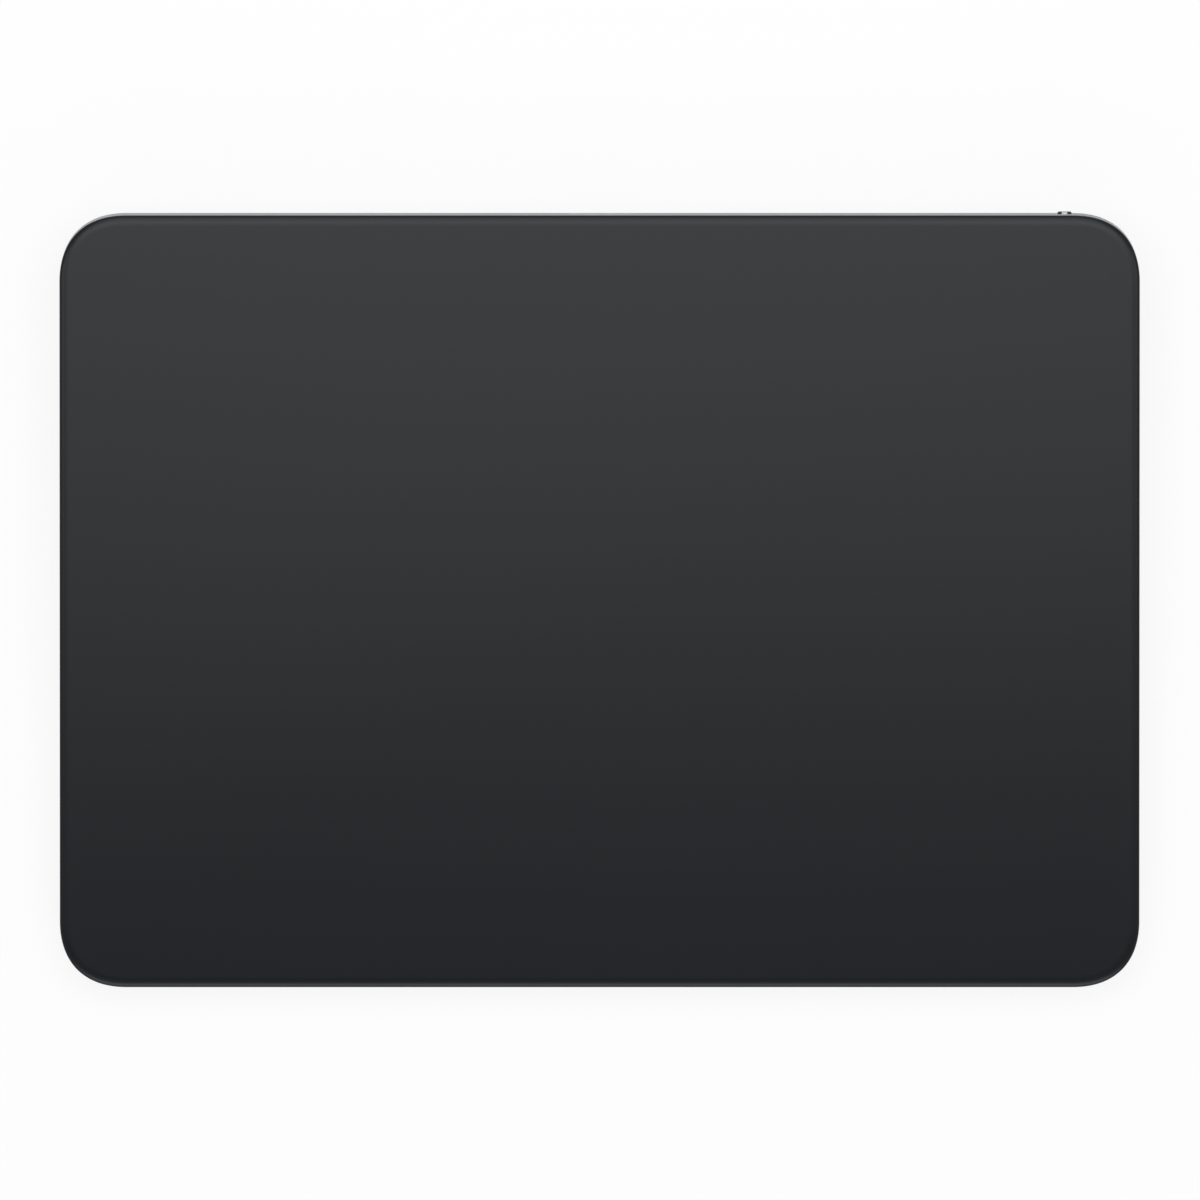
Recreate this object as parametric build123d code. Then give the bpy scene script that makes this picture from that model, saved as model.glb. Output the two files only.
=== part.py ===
from build123d import *
from math import cos, radians, sin, tan
import os

# Overall form
width = 160.0
slope_depth = 114.5
front_height = 4.9
slope_angle = 3.0
corner_reach = 9.8
corner_handle_share = 0.63
round_handle_share = 0.4477

# Glass plate and the touch stack under it
glass_thickness = 1.0
glass_edge_run = 1.6
glass_edge_drop = 0.55
edge_tool_overhang = 0.5
seam_gap = 0.3
sensor_thickness = 0.4
sensor_inset = 3.0
plate_thickness = 0.5
plate_inset = 5.0
window_rib = 12.0
window_side = 18.0
window_end = 11.0
window_from_core = 1.5
window_corner = 3.0
touch_chip_size = 7.0
touch_chip_height = 0.9
touch_chip_pitch = 9.5
touch_chip_from_rib = 6.0
touch_socket_across = 9.0
touch_socket_along = 2.4
touch_socket_height = 0.6

# Enclosure
wall = 1.8
floor_thickness = 0.7
bottom_round = 1.2
rim_break = 0.18
stand = 0.6
slot_break = 0.12

# Bottom cover and feet
cover_thickness = 0.6
cover_lip = 2.0
cover_clearance = 0.12
cover_break = 0.15
foot_radius = 4.5
foot_sunk = 0.3
foot_clearance = 0.1
foot_break = 0.25
foot_inset_side = 14.0
foot_inset_end = 13.3

# Screws
screw_radius = 0.7
screw_head_radius = 1.2
screw_head_height = 0.4
screw_play = 0.05
screw_socket_radius = 0.55
screw_socket_depth = 0.22
thread_run = 0.9

# Force sensors
pad_radius = 3.0
pad_thickness = 0.8
pad_inset_side = 11.0
pad_inset_end = 13.25
leaf_thickness = 0.4
leaf_reach = 15.0
leaf_foot_across = 11.0
leaf_foot_along = 6.0
leaf_beam_across = 5.0
leaf_tip_radius = 3.8
leaf_screw_pitch = 7.0
leaf_relief_across = 1.0
leaf_relief_along = 4.0
gauge_across = 3.4
gauge_along = 3.0
gauge_thickness = 0.1
gauge_gap = 0.02
gauge_from_foot = 5.0

# Charging socket, a receptacle of the common reversible kind
port_mouth_across = 8.34
port_mouth_height = 2.56
port_shell_wall = 0.3
port_length = 7.0
port_recess = 0.25
port_clearance = 0.15
port_gap = 0.03
tongue_across = 6.69
tongue_height = 0.7
tongue_length = 4.45
tongue_break = 0.12
tongue_block = 1.3
contact_count = 12
contact_pitch = 0.5
contact_across = 0.26
contact_length = 3.4
contact_height = 0.04
contact_from_tip = 0.5
port_board_across = 18.0
port_board_along = 7.6
port_board_thickness = 0.8
port_board_overlap = 5.2
port_board_lift = 0.32
port_screw_pitch = 13.4
bracket_thickness = 0.4
bracket_along = 3.4
bracket_ear = 3.4
bracket_from_wall = 0.6
port_socket_across = 5.4
port_socket_along = 1.8
port_socket_height = 0.7

# Power switch
knob_inset = 11.1
switch_travel = 2.4
knob_across = 2.1
knob_height = 1.7
knob_proud = 0.35
knob_round = 0.22
slot_clearance = 0.15
flange_height = 3.4
flange_thickness = 0.5
flange_cover = 0.15
flange_clearance = 0.1
pocket_skin = 0.9
pocket_clearance = 0.2
fork_length = 1.9
fork_prong = 0.7
fork_height = 1.4
lever_across = 1.0
lever_clearance = 0.1
lever_height = 1.0
lever_reach = 1.5
lever_slot_depth = 0.8
switch_body_across = 7.0
switch_body_along = 2.5
switch_body_height = 2.2
switch_body_gap = 0.3
switch_board_across = 14.0
switch_board_along = 5.0
switch_board_thickness = 0.6
switch_board_corner = 0.6
switch_board_shift = 2.0
switch_screw_inset = 3.6
switch_rib_across = 2.0
switch_board_front = 0.9

# Battery
battery_height = 3.9
battery_corner = 1.6
battery_edge = 0.9
battery_margin = 1.5
battery_from_board = 4.5
battery_from_port = 1.2
strip_height = 0.15
strip_across = 12.0
strip_inset = 14.0
terrace = 3.4
guard_board_inset = 3.5
guard_board_thickness = 0.8
guard_board_lift = 1.1
guard_overlap = 0.1

# Main board
board_across = 60.0
board_along = 18.0
board_margin = 0.9
board_from_armature = 2.6
board_corner = 1.5
board_thickness = 0.6
board_lift = 0.5
board_screw_inset = 2.2
board_post = 3.6
shield_height = 1.0
shield_skin = 0.15
shield_round = 0.3
large_shield = (14.0, 9.6)
large_shield_at = (-15.0, 0.0)
small_shield = (9.0, 9.0)
small_shield_at = (1.5, 0.0)
chip_height = 0.7
shielded_chip_share = 0.6
chip_sizes = ((5.0, 5.0), (4.0, 3.0), (3.0, 3.0), (2.6, 2.0))
chip_places = ((13.0, 0.5), (20.5, 3.5), (20.5, -2.5), (26.0, 0.0))
socket_height = 0.8
touch_board_socket_at = (-16.5, 6.6)
port_board_socket = (6.0, 2.4)
port_board_socket_at = (-5.4, 6.6)
battery_socket = (4.0, 3.0)
haptic_socket = (5.0, 2.4)
haptic_socket_at = (14.0, -6.6)
force_socket = (6.0, 2.4)
force_socket_at = (-14.0, -6.6)
coax_socket_radius = 1.0
coax_socket_height = 0.9
coax_socket_at = (-19.5, -6.4)

# Flexible circuits
flex_thickness = 0.12
flex_gap = 0.1
flex_bend = 0.45
port_flex_across = 5.0
switch_flex_across = 2.4
force_flex_across = 2.2
force_flex_gap = 0.4
haptic_flex_across = 3.0
haptic_flex_end = 19.0
flex_fall = 1.2
flex_lap = 2.0
touch_flex_across = 8.0
touch_flex_rise = 3.0
battery_flex_across = 3.0
tail_across = 2.0
tail_run = 3.2
tail_lap = 0.9

# Antenna
antenna_across = 24.0
antenna_along = 6.0
antenna_thickness = 0.5
antenna_inset_side = 36.0
antenna_inset_front = 15.4
antenna_margin = 1.5
antenna_window_clearance = 0.08
antenna_socket_inset = 2.2
antenna_chip = (7.0, 2.4)
antenna_chip_height = 0.5
lead_radius = 0.4
lead_gap = 0.05
lead_bend = 2.2
lead_from_antenna = 2.6

# Haptic actuator
core_across = 44.0
core_bar_along = 3.5
core_from_front = 37.25
core_height = 1.2
core_drop = 3.5
core_ear = 5.0
leg_count = 4
leg_pitch = 11.0
leg_across = 5.0
leg_along = 6.0
coil_build = 0.6
coil_gap = 0.05
coil_along = 5.0
coil_from_bar = 0.4
armature_gap = 0.4
armature_along = 1.5
armature_across = 46.0
armature_height = 2.3

# Derived places: the slope frame has its origin at the middle of the glass face,
# u across, v up the slope towards the rear and w out of the glass
tilt = radians(slope_angle)
rise = slope_depth * sin(tilt)
run = slope_depth * cos(tilt)
rear_height = front_height + rise
lean = (rear_height - stand - bottom_round) * tan(tilt)
mid_y = -lean / 2
mid_z = front_height + rise / 2
on_slope = Location((0, mid_y, mid_z), (slope_angle, 0, 0))
deep = 2 * rear_height
half_width = width / 2
half_slope = slope_depth / 2
front_y = mid_y - run / 2
wall_top = -glass_thickness - seam_gap
cover_top = stand + cover_thickness
floor_top = cover_top + floor_thickness
floor_middle = cover_top + floor_thickness / 2
floor_flex_z = floor_top + flex_gap + flex_thickness / 2
base_y = mid_y + (mid_z - stand) * tan(tilt)
base_along = slope_depth / cos(tilt)
inner_rear = half_slope - wall


def row_point(v, w):
    # Depth and height in the level frame of a place on the slope
    return (mid_y + v * cos(tilt) - w * sin(tilt), mid_z + v * sin(tilt) + w * cos(tilt))


def floor_depth(v):
    # Place of the floor's top on the w axis
    return (floor_top - mid_z - v * sin(tilt)) / cos(tilt)


# Touch stack and force sensors
sensor_under = -glass_thickness - sensor_thickness
plate_under = sensor_under - plate_thickness
pad_under = plate_under - pad_thickness
leaf_under = pad_under - leaf_thickness
pad_u = half_width - pad_inset_side
pad_v = half_slope - pad_inset_end
leaf_foot_v = pad_v - leaf_reach
gauge_v = leaf_foot_v + gauge_from_foot
gauge_top = pad_under + gauge_gap + gauge_thickness
strip_x = pad_u - leaf_foot_across / 2 - force_flex_gap - force_flex_across / 2
corners = ((-1, 1), (1, 1), (1, -1), (-1, -1))
corner_names = ("rear_left", "rear_right", "front_right", "front_left")

# Haptic actuator
core_front_v = core_from_front - half_slope
core_rear_v = core_front_v + core_bar_along
core_v = core_rear_v - core_bar_along / 2
core_ear_u = core_across / 2 + core_ear / 2
leg_end_v = core_rear_v + leg_along
armature_v = leg_end_v + armature_gap + armature_along / 2

# Charging socket
port_rear_v = half_slope - port_recess
port_inner_v = port_rear_v - port_length
port_board_rear_v = port_inner_v + port_board_overlap
port_board_v = port_board_rear_v - port_board_along / 2
port_board_front_v = port_board_rear_v - port_board_along
port_board_under = floor_depth(port_board_front_v) + port_board_lift
port_board_top = port_board_under + port_board_thickness
port_drop = -port_board_top - port_shell_wall - port_mouth_height / 2

# Power switch, level with the socket
knob_u = half_width - knob_inset
slot_length = switch_travel + knob_across + 2 * slot_clearance
slot_u = knob_u - switch_travel / 2
flange_half = slot_length / 2 + switch_travel / 2 + flange_cover
flange_rear_v = half_slope - pocket_skin - flange_clearance
flange_front_v = flange_rear_v - flange_thickness
fork_front_v = flange_front_v - fork_length
switch_body_rear_v = fork_front_v - switch_body_gap
switch_body_v = switch_body_rear_v - switch_body_along / 2
switch_body_under = -port_drop - switch_body_height / 2
switch_board_v = switch_body_rear_v + switch_board_front - switch_board_along / 2
switch_board_u = slot_u - switch_board_shift
switch_board_under = switch_body_under - switch_board_thickness

# Main board behind the actuator, and the battery between it and the socket
board_x = board_across / 2 - strip_x + force_flex_across / 2 + board_margin
board_front_y = row_point(armature_v + armature_along / 2, plate_under)[0] + board_from_armature
board_y = board_front_y + board_along / 2
board_under = floor_top + board_lift
board_top = board_under + board_thickness
board_socket_top = board_top + socket_height
guard_outer_x = strip_x - force_flex_across / 2 - battery_margin
battery_half = guard_outer_x - terrace
battery_front_y = board_front_y + board_along + battery_from_board
battery_rear_y = row_point(port_board_front_v, port_board_under)[0] - battery_from_port
battery_along = battery_rear_y - battery_front_y
battery_y = (battery_front_y + battery_rear_y) / 2
battery_under = floor_top + strip_height
battery_top = battery_under + battery_height
guard_under = battery_under + guard_board_lift
guard_top = guard_under + guard_board_thickness
guard_x = -battery_half - terrace / 2
battery_socket_at = (guard_x - board_x, 0)
guard_board_along = battery_along - 2 * guard_board_inset

# Windows of the stiffener, and what hangs in them
plate_across = width - 2 * plate_inset
window_across = (plate_across - 2 * window_side - 2 * window_rib) / 3
window_pitch = window_across + window_rib
window_end_v = half_slope - plate_inset - window_end
window_rear_low = board_front_y + board_along - flex_lap
window_rows = (
    (window_rear_low, window_end_v),
    (-window_end_v, core_front_v - window_from_core),
)
touch_chip_v = window_rear_low + touch_chip_from_rib
touch_flex_x = board_x + touch_board_socket_at[0]

# Antenna
antenna_x = half_width - antenna_inset_side
antenna_y = front_y + antenna_inset_front
antenna_top = floor_top + antenna_thickness
antenna_socket_x = antenna_x - antenna_across / 2 + antenna_socket_inset


def soft_rectangle(across, along, reach):
    # Rectangle whose corners turn gently over the given reach
    half_x = across / 2
    half_y = along / 2
    near = reach * (1 - corner_handle_share)
    turns = []
    for side_x, side_y in ((1, 1), (-1, 1), (-1, -1), (1, -1)):
        turn = [
            (side_x * half_x, side_y * (half_y - reach)),
            (side_x * half_x, side_y * (half_y - near)),
            (side_x * (half_x - near), side_y * half_y),
            (side_x * (half_x - reach), side_y * half_y),
        ]
        if side_x * side_y < 0:
            turn.reverse()
        turns.append(turn)
    edges = [Bezier(*turn) for turn in turns]
    edges += [Line(turns[i][-1], turns[(i + 1) % 4][0]) for i in range(4)]
    return make_face(edges)


def raised(face, low, high, x=0, y=0):
    # A flat face stood up between two heights
    return extrude(Pos(x, y, low) * face, high - low, dir=(0, 0, 1))


def pushed(face, front, rear, x=0, z=0):
    # A face in the plane across the depth, pushed from front to rear
    plane = Plane(origin=(x, front, z), x_dir=(1, 0, 0), z_dir=(0, 1, 0))
    return extrude(plane * face, rear - front, dir=(0, 1, 0))


def below(level):
    # Everything under a level height
    return Pos(0, 0, level) * Box(
        2 * width, 2 * width, deep, align=(Align.CENTER, Align.CENTER, Align.MAX)
    )


def on_floor(face, top, u=0, v=0):
    # A post square to the slope, from a height in the slope frame into the floor
    post = on_slope * raised(face, -deep, top, u, v)
    return post - below(floor_middle)


def group(solids):
    return Compound([solid for shape in solids for solid in shape.solids()])


def screw(grip):
    # A low pan-head screw whose head rests on the origin
    head = raised(Circle(screw_head_radius), 0, screw_head_height)
    head -= raised(
        RegularPolygon(screw_socket_radius, 6),
        screw_head_height - screw_socket_depth,
        screw_head_height,
    )
    return head + raised(Circle(screw_radius), -grip - thread_run, 0)


def screw_hole(grip):
    return raised(Circle(screw_radius + screw_play), -grip - thread_run - screw_play, 0)


def ribbon(points, across, side=(1, 0, 0)):
    # A flexible strip that follows a line with rounded folds
    path = FilletPolyline(*points, radius=flex_bend)
    plane = Plane(origin=path @ 0, x_dir=side, z_dir=path % 0)
    return sweep(plane * Rectangle(across, flex_thickness), path=path)


def glass_plate():
    outline = soft_rectangle(width, slope_depth, corner_reach)
    slab = raised(outline, -glass_thickness, 0)
    rim = outline.face().outer_wire()
    run_handle = glass_edge_run * round_handle_share
    drop_handle = glass_edge_drop * round_handle_share
    # The section's second axis points down into the glass
    curve = Bezier(
        (0, glass_edge_drop),
        (0, drop_handle),
        (-run_handle, 0),
        (-glass_edge_run, 0),
    )
    rest = Polyline(
        (-glass_edge_run, 0),
        (-glass_edge_run, -edge_tool_overhang),
        (edge_tool_overhang, -edge_tool_overhang),
        (edge_tool_overhang, glass_edge_drop),
        (0, glass_edge_drop),
    )
    side = Plane(
        origin=(half_width, half_slope - corner_reach, 0),
        x_dir=(1, 0, 0),
        z_dir=(0, 1, 0),
    )
    cutter = sweep(side * make_face([curve, rest]), path=rim)
    return on_slope * (slab - cutter)


def touch_sensor_board():
    reach = corner_reach - sensor_inset
    outline = soft_rectangle(width - 2 * sensor_inset, slope_depth - 2 * sensor_inset, reach)
    return on_slope * raised(outline, sensor_under, -glass_thickness)


def stiffener_plate():
    reach = corner_reach - plate_inset
    outline = soft_rectangle(plate_across, slope_depth - 2 * plate_inset, reach)
    plate = raised(outline, plate_under, sensor_under)
    for front, rear in window_rows:
        window = RectangleRounded(window_across, rear - front, window_corner)
        v = (front + rear) / 2
        for column in (-1, 0, 1):
            plate -= raised(window, plate_under, sensor_under, column * window_pitch, v)
    return on_slope * plate


def touch_chips():
    chips = []
    low = sensor_under - touch_chip_height
    for u in (-touch_chip_pitch / 2, touch_chip_pitch / 2, window_pitch):
        chip = Rectangle(touch_chip_size, touch_chip_size)
        chips.append(on_slope * raised(chip, low, sensor_under, u, touch_chip_v))
    socket = Rectangle(touch_socket_across, touch_socket_along)
    low = sensor_under - touch_socket_height
    chips.append(on_slope * raised(socket, low, sensor_under, touch_flex_x, touch_chip_v))
    return group(chips)


def haptic_armature():
    bar = Rectangle(armature_across, armature_along)
    return on_slope * raised(bar, plate_under - armature_height, plate_under, 0, armature_v)


def flexure_pads():
    pads = []
    for side_u, side_v in corners:
        pad = raised(Circle(pad_radius), pad_under, plate_under, side_u * pad_u, side_v * pad_v)
        pads.append(on_slope * pad)
    return group(pads)


def leaf_outline(side_v):
    foot = Rectangle(leaf_foot_across, leaf_foot_along)
    beam = Pos(0, side_v * leaf_reach / 2) * Rectangle(leaf_beam_across, leaf_reach)
    tip = Pos(0, side_v * leaf_reach) * Circle(leaf_tip_radius)
    leaf = foot + beam + tip
    relief_y = side_v * (leaf_reach - leaf_tip_radius - leaf_relief_along / 2)
    leaf -= Pos(0, relief_y) * SlotOverall(leaf_relief_along, leaf_relief_across, rotation=90)
    for side_u in (-1, 1):
        leaf -= Pos(side_u * leaf_screw_pitch / 2, 0) * Circle(screw_radius + screw_play)
    return leaf


def flexure(side_u, side_v):
    leaf = leaf_outline(side_v)
    return on_slope * raised(leaf, leaf_under, pad_under, side_u * pad_u, side_v * leaf_foot_v)


def strain_gauges():
    patches = []
    for side_u, side_v in corners:
        low = pad_under + gauge_gap
        patch = Rectangle(gauge_across, gauge_along)
        patch = raised(patch, low, gauge_top, side_u * pad_u, side_v * gauge_v)
        patches.append(on_slope * patch)
    return group(patches)


def leaf_screw_places():
    places = []
    for side_u, side_v in corners:
        for side in (-1, 1):
            u = side_u * pad_u + side * leaf_screw_pitch / 2
            places.append((u, side_v * leaf_foot_v, pad_under))
    return places


def core_screw_places():
    top = -core_drop + core_height / 2
    return [(side * core_ear_u, core_v, top) for side in (-1, 1)]


def port_screw_places():
    top = port_board_top + bracket_thickness
    v = inner_rear - bracket_from_wall - bracket_along / 2
    return [(side * port_screw_pitch / 2, v, top) for side in (-1, 1)]


def switch_screw_places():
    u = switch_board_u - switch_board_across / 2 + switch_screw_inset
    return [(u, switch_board_v, switch_body_under)]


def board_screw_places():
    across = board_across / 2 - board_screw_inset
    along = board_along / 2 - board_screw_inset
    return [(board_x + x * across, board_y + y * along, board_top) for x, y in corners]


def slope_screws(places, grip):
    return group([on_slope * (Pos(*place) * screw(grip)) for place in places])


def enclosure():
    body = on_slope * raised(soft_rectangle(width, slope_depth, corner_reach), -deep, wall_top)
    body -= below(stand)
    body = fillet(body.faces().sort_by(Axis.Z)[0].edges(), bottom_round)
    rim = body.faces().sort_by(Axis((0, mid_y, mid_z), (0, -sin(tilt), cos(tilt))))[-1]
    body = chamfer(rim.edges(), rim_break)
    inner = soft_rectangle(width - 2 * wall, slope_depth - 2 * wall, corner_reach - wall)
    body -= on_slope * raised(inner, -deep, 0) - below(floor_top)
    recess = soft_rectangle(
        width - 2 * cover_lip, base_along - 2 * cover_lip, corner_reach - cover_lip
    )
    body -= raised(recess, 0, cover_top, 0, base_y)
    for post in posts():
        body += post
    for hole in screw_holes():
        body -= hole
    body -= raised(antenna_window_outline(0), cover_top, floor_top, antenna_x, antenna_y)
    body -= on_slope * rear_openings()
    return body


def posts():
    foot = Rectangle(leaf_foot_across, leaf_foot_along)
    ear = Rectangle(core_ear, core_bar_along)
    stem = Rectangle(board_post, board_post)
    found = [
        on_floor(foot, leaf_under, side_u * pad_u, side_v * leaf_foot_v)
        for side_u, side_v in corners
    ]
    for u, v, top in core_screw_places():
        found.append(on_floor(ear, top - core_height, u, v))
    for u, v, top in port_screw_places():
        found.append(on_floor(stem, port_board_under, u, v))
    for u, v, top in switch_screw_places():
        found.append(on_floor(stem, switch_board_under, u, v))
    rib = Rectangle(switch_rib_across, board_post)
    rib_u = switch_board_u + switch_board_across / 2 - switch_rib_across
    found.append(on_floor(rib, switch_board_under, rib_u, switch_board_v))
    for x, y, top in board_screw_places():
        found.append(raised(stem, floor_middle, board_under, x, y))
    return found


def screw_holes():
    port_grip = bracket_thickness + port_board_thickness
    found = [on_slope * (Pos(*at) * screw_hole(leaf_thickness)) for at in leaf_screw_places()]
    found += [on_slope * (Pos(*at) * screw_hole(core_height)) for at in core_screw_places()]
    found += [on_slope * (Pos(*at) * screw_hole(port_grip)) for at in port_screw_places()]
    for at in switch_screw_places():
        found.append(on_slope * (Pos(*at) * screw_hole(switch_board_thickness)))
    found += [Pos(*at) * screw_hole(board_thickness) for at in board_screw_places()]
    return found


def antenna_window_outline(clearance):
    across = antenna_across + 2 * antenna_margin - 2 * clearance
    along = antenna_along + 2 * antenna_margin - 2 * clearance
    return RectangleRounded(across, along, antenna_margin - clearance)


def port_outline(spread):
    across = port_mouth_across + 2 * spread
    return SlotOverall(across, port_mouth_height + 2 * spread)


def slot_outline(spread):
    across = slot_length + 2 * spread
    return SlotOverall(across, knob_height + 2 * slot_clearance + 2 * spread)


def rear_openings():
    # The socket's opening, the switch's slot and the pocket its slide runs in
    port_spread = port_shell_wall + port_clearance
    outer = half_slope + wall
    found = pushed(port_outline(port_spread), port_inner_v, outer, 0, -port_drop)
    found += pushed(slot_outline(0), inner_rear, outer, slot_u, -port_drop)
    mouth = half_slope - slot_break
    port_rim = Plane(origin=(0, mouth, -port_drop), x_dir=(1, 0, 0), z_dir=(0, 1, 0))
    slot_rim = Plane(origin=(slot_u, mouth, -port_drop), x_dir=(1, 0, 0), z_dir=(0, 1, 0))
    found += extrude(port_rim * port_outline(port_spread), 2 * slot_break, taper=-45)
    found += extrude(slot_rim * slot_outline(0), 2 * slot_break, taper=-45)
    pocket_half = flange_half + switch_travel / 2 + pocket_clearance
    pocket_height = flange_height + 2 * pocket_clearance
    pocket = RectangleRounded(2 * pocket_half, pocket_height, pocket_clearance)
    rear = half_slope - pocket_skin
    found += pushed(pocket, inner_rear - wall, rear, slot_u, -port_drop)
    return found


def bottom_cover():
    inset = cover_lip + cover_clearance
    outline = soft_rectangle(width - 2 * inset, base_along - 2 * inset, corner_reach - inset)
    cover = raised(outline, stand, cover_top, 0, base_y)
    cover = chamfer(cover.faces().sort_by(Axis.Z)[0].edges(), cover_break)
    recess = Circle(foot_radius + foot_clearance)
    for x, y in foot_places():
        cover -= raised(recess, stand, stand + foot_sunk, x, y)
    return cover


def foot_places():
    across = half_width - foot_inset_side
    along = base_along / 2 - foot_inset_end
    return [(x * across, base_y + y * along) for x, y in corners]


def foot(place):
    disc = raised(Circle(foot_radius), 0, stand + foot_sunk, *place)
    return chamfer(disc.faces().sort_by(Axis.Z)[0].edges(), foot_break)


def port_shell():
    tube = port_outline(port_shell_wall)
    shell = pushed(tube, port_inner_v, port_rear_v, 0, -port_drop)
    shell -= pushed(port_outline(0), port_inner_v, port_rear_v, 0, -port_drop)
    return on_slope * shell


def port_tongue():
    root = port_inner_v + tongue_block
    block = pushed(port_outline(-port_gap), port_inner_v, root, 0, -port_drop)
    blade = pushed(
        Rectangle(tongue_across, tongue_height), root, root + tongue_length, 0, -port_drop
    )
    tip = blade.faces().sort_by(Axis.Y)[-1].edges()
    return on_slope * (block + chamfer(tip, tongue_break))


def port_contacts():
    rear = port_inner_v + tongue_block + tongue_length - contact_from_tip
    first = -(contact_count - 1) / 2 * contact_pitch
    offset = tongue_height / 2 + contact_height / 2
    strips = []
    for side in (-1, 1):
        for i in range(contact_count):
            strip = Rectangle(contact_across, contact_height)
            u = first + i * contact_pitch
            w = -port_drop + side * offset
            strips.append(on_slope * pushed(strip, rear - contact_length, rear, u, w))
    return group(strips)


def port_board():
    outline = RectangleRounded(port_board_across, port_board_along, switch_board_corner)
    board = raised(outline, port_board_under, port_board_top, 0, port_board_v)
    for u, v, top in port_screw_places():
        hole = Circle(screw_radius + screw_play)
        board -= raised(hole, port_board_under, port_board_top, u, v)
    return on_slope * board


def port_board_socket_solid():
    v = port_board_front_v + port_socket_along / 2 + port_gap
    socket = Rectangle(port_socket_across, port_socket_along)
    return on_slope * raised(socket, port_board_top, port_board_top + port_socket_height, 0, v)


def port_bracket():
    # A hat-shaped strap over the socket's shell
    places = port_screw_places()
    v = places[0][1]
    half = port_mouth_across / 2 + port_shell_wall + port_gap
    top = -port_drop + port_mouth_height / 2 + port_shell_wall + port_gap
    height = top + bracket_thickness - port_board_top
    crown = Rectangle(2 * half + 2 * bracket_thickness, bracket_along)
    strap = raised(crown, port_board_top, port_board_top + height, 0, v)
    strap -= raised(Rectangle(2 * half, bracket_along), port_board_top, top, 0, v)
    for u, v, head in places:
        ear_start = half + bracket_thickness
        ear = Rectangle(bracket_ear, bracket_along)
        ear_u = (ear_start + bracket_ear / 2) * (1 if u > 0 else -1)
        strap += raised(ear, port_board_top, head, ear_u, v)
        strap -= raised(Circle(screw_radius + screw_play), port_board_top, head, u, v)
    return on_slope * strap


def switch_slider():
    plate = RectangleRounded(2 * flange_half, flange_height, pocket_clearance)
    slider = pushed(plate, flange_front_v, flange_rear_v, knob_u, -port_drop)
    nub = SlotOverall(knob_across, knob_height)
    knob = pushed(nub, flange_rear_v, half_slope + knob_proud, knob_u, -port_drop)
    slider += fillet(knob.faces().sort_by(Axis.Y)[-1].edges(), knob_round)
    reach = lever_across / 2 + lever_clearance + fork_prong / 2
    for side in (-1, 1):
        prong = Rectangle(fork_prong, fork_height)
        slider += pushed(prong, fork_front_v, flange_front_v, knob_u + side * reach, -port_drop)
    return on_slope * slider


def switch_lever():
    bar = Rectangle(lever_across, lever_height)
    front = switch_body_rear_v - lever_slot_depth
    return on_slope * pushed(bar, front, switch_body_rear_v + lever_reach, knob_u, -port_drop)


def switch_body():
    can = Rectangle(switch_body_across, switch_body_height)
    front = switch_body_v - switch_body_along / 2
    body = pushed(can, front, switch_body_rear_v, slot_u, -port_drop)
    across = switch_travel + lever_across + 2 * slot_clearance
    window = Rectangle(across, lever_height + 2 * slot_clearance)
    depth = lever_slot_depth + slot_clearance
    body -= pushed(window, switch_body_rear_v - depth, switch_body_rear_v, slot_u, -port_drop)
    return on_slope * body


def switch_board():
    outline = RectangleRounded(switch_board_across, switch_board_along, switch_board_corner)
    board = raised(outline, switch_board_under, switch_body_under, switch_board_u, switch_board_v)
    for u, v, top in switch_screw_places():
        hole = Circle(screw_radius + screw_play)
        board -= raised(hole, switch_board_under, switch_body_under, u, v)
    return on_slope * board


def battery_cell():
    outline = RectangleRounded(2 * battery_half, battery_along, battery_corner)
    cell = raised(outline, battery_under, battery_top, 0, battery_y)
    return fillet(cell.faces().sort_by(Axis.Z)[-1].edges(), battery_edge)


def battery_guard_board():
    board = Rectangle(terrace - 2 * guard_overlap, guard_board_along)
    return raised(board, guard_under, guard_top, guard_x, battery_y)


def battery_tabs():
    tabs = []
    tab = Rectangle(terrace / 2, guard_board_along / 7)
    x = -battery_half - terrace / 4
    for y in (battery_y + guard_board_along / 6, battery_y + guard_board_along / 2.5):
        tabs.append(raised(tab, guard_top, guard_top + strip_height, x, y))
    return group(tabs)


def battery_strips():
    strip = Rectangle(strip_across, battery_along - 2 * battery_corner)
    x = battery_half - strip_inset
    strips = [raised(strip, floor_top, battery_under, side * x, battery_y) for side in (-1, 0, 1)]
    return group(strips)


def main_board():
    outline = RectangleRounded(board_across, board_along, board_corner)
    board = raised(outline, board_under, board_top, board_x, board_y)
    for x, y, top in board_screw_places():
        board -= raised(Circle(screw_radius + screw_play), board_under, board_top, x, y)
    return board


def on_board(face, height, place):
    return raised(face, board_top, board_top + height, board_x + place[0], board_y + place[1])


def shield(size, place):
    across, along = size
    can = on_board(RectangleRounded(across, along, shield_round), shield_height, place)
    inside = Rectangle(across - 2 * shield_skin, along - 2 * shield_skin)
    return can - on_board(inside, shield_height - shield_skin, place)


def board_chips():
    pairs = zip(chip_sizes, chip_places)
    chips = [on_board(Rectangle(*size), chip_height, place) for size, place in pairs]
    for size, place in ((large_shield, large_shield_at), (small_shield, small_shield_at)):
        edge = shielded_chip_share * size[1]
        chips.append(on_board(Rectangle(edge, edge), chip_height, place))
    return group(chips)


def board_sockets():
    touch_socket = (touch_socket_across, touch_socket_along)
    kinds = (
        (touch_socket, touch_board_socket_at),
        (port_board_socket, port_board_socket_at),
        (battery_socket, battery_socket_at),
        (haptic_socket, haptic_socket_at),
        (force_socket, force_socket_at),
    )
    sockets = [on_board(Rectangle(*size), socket_height, place) for size, place in kinds]
    return group(sockets + [port_board_socket_solid()])


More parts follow.
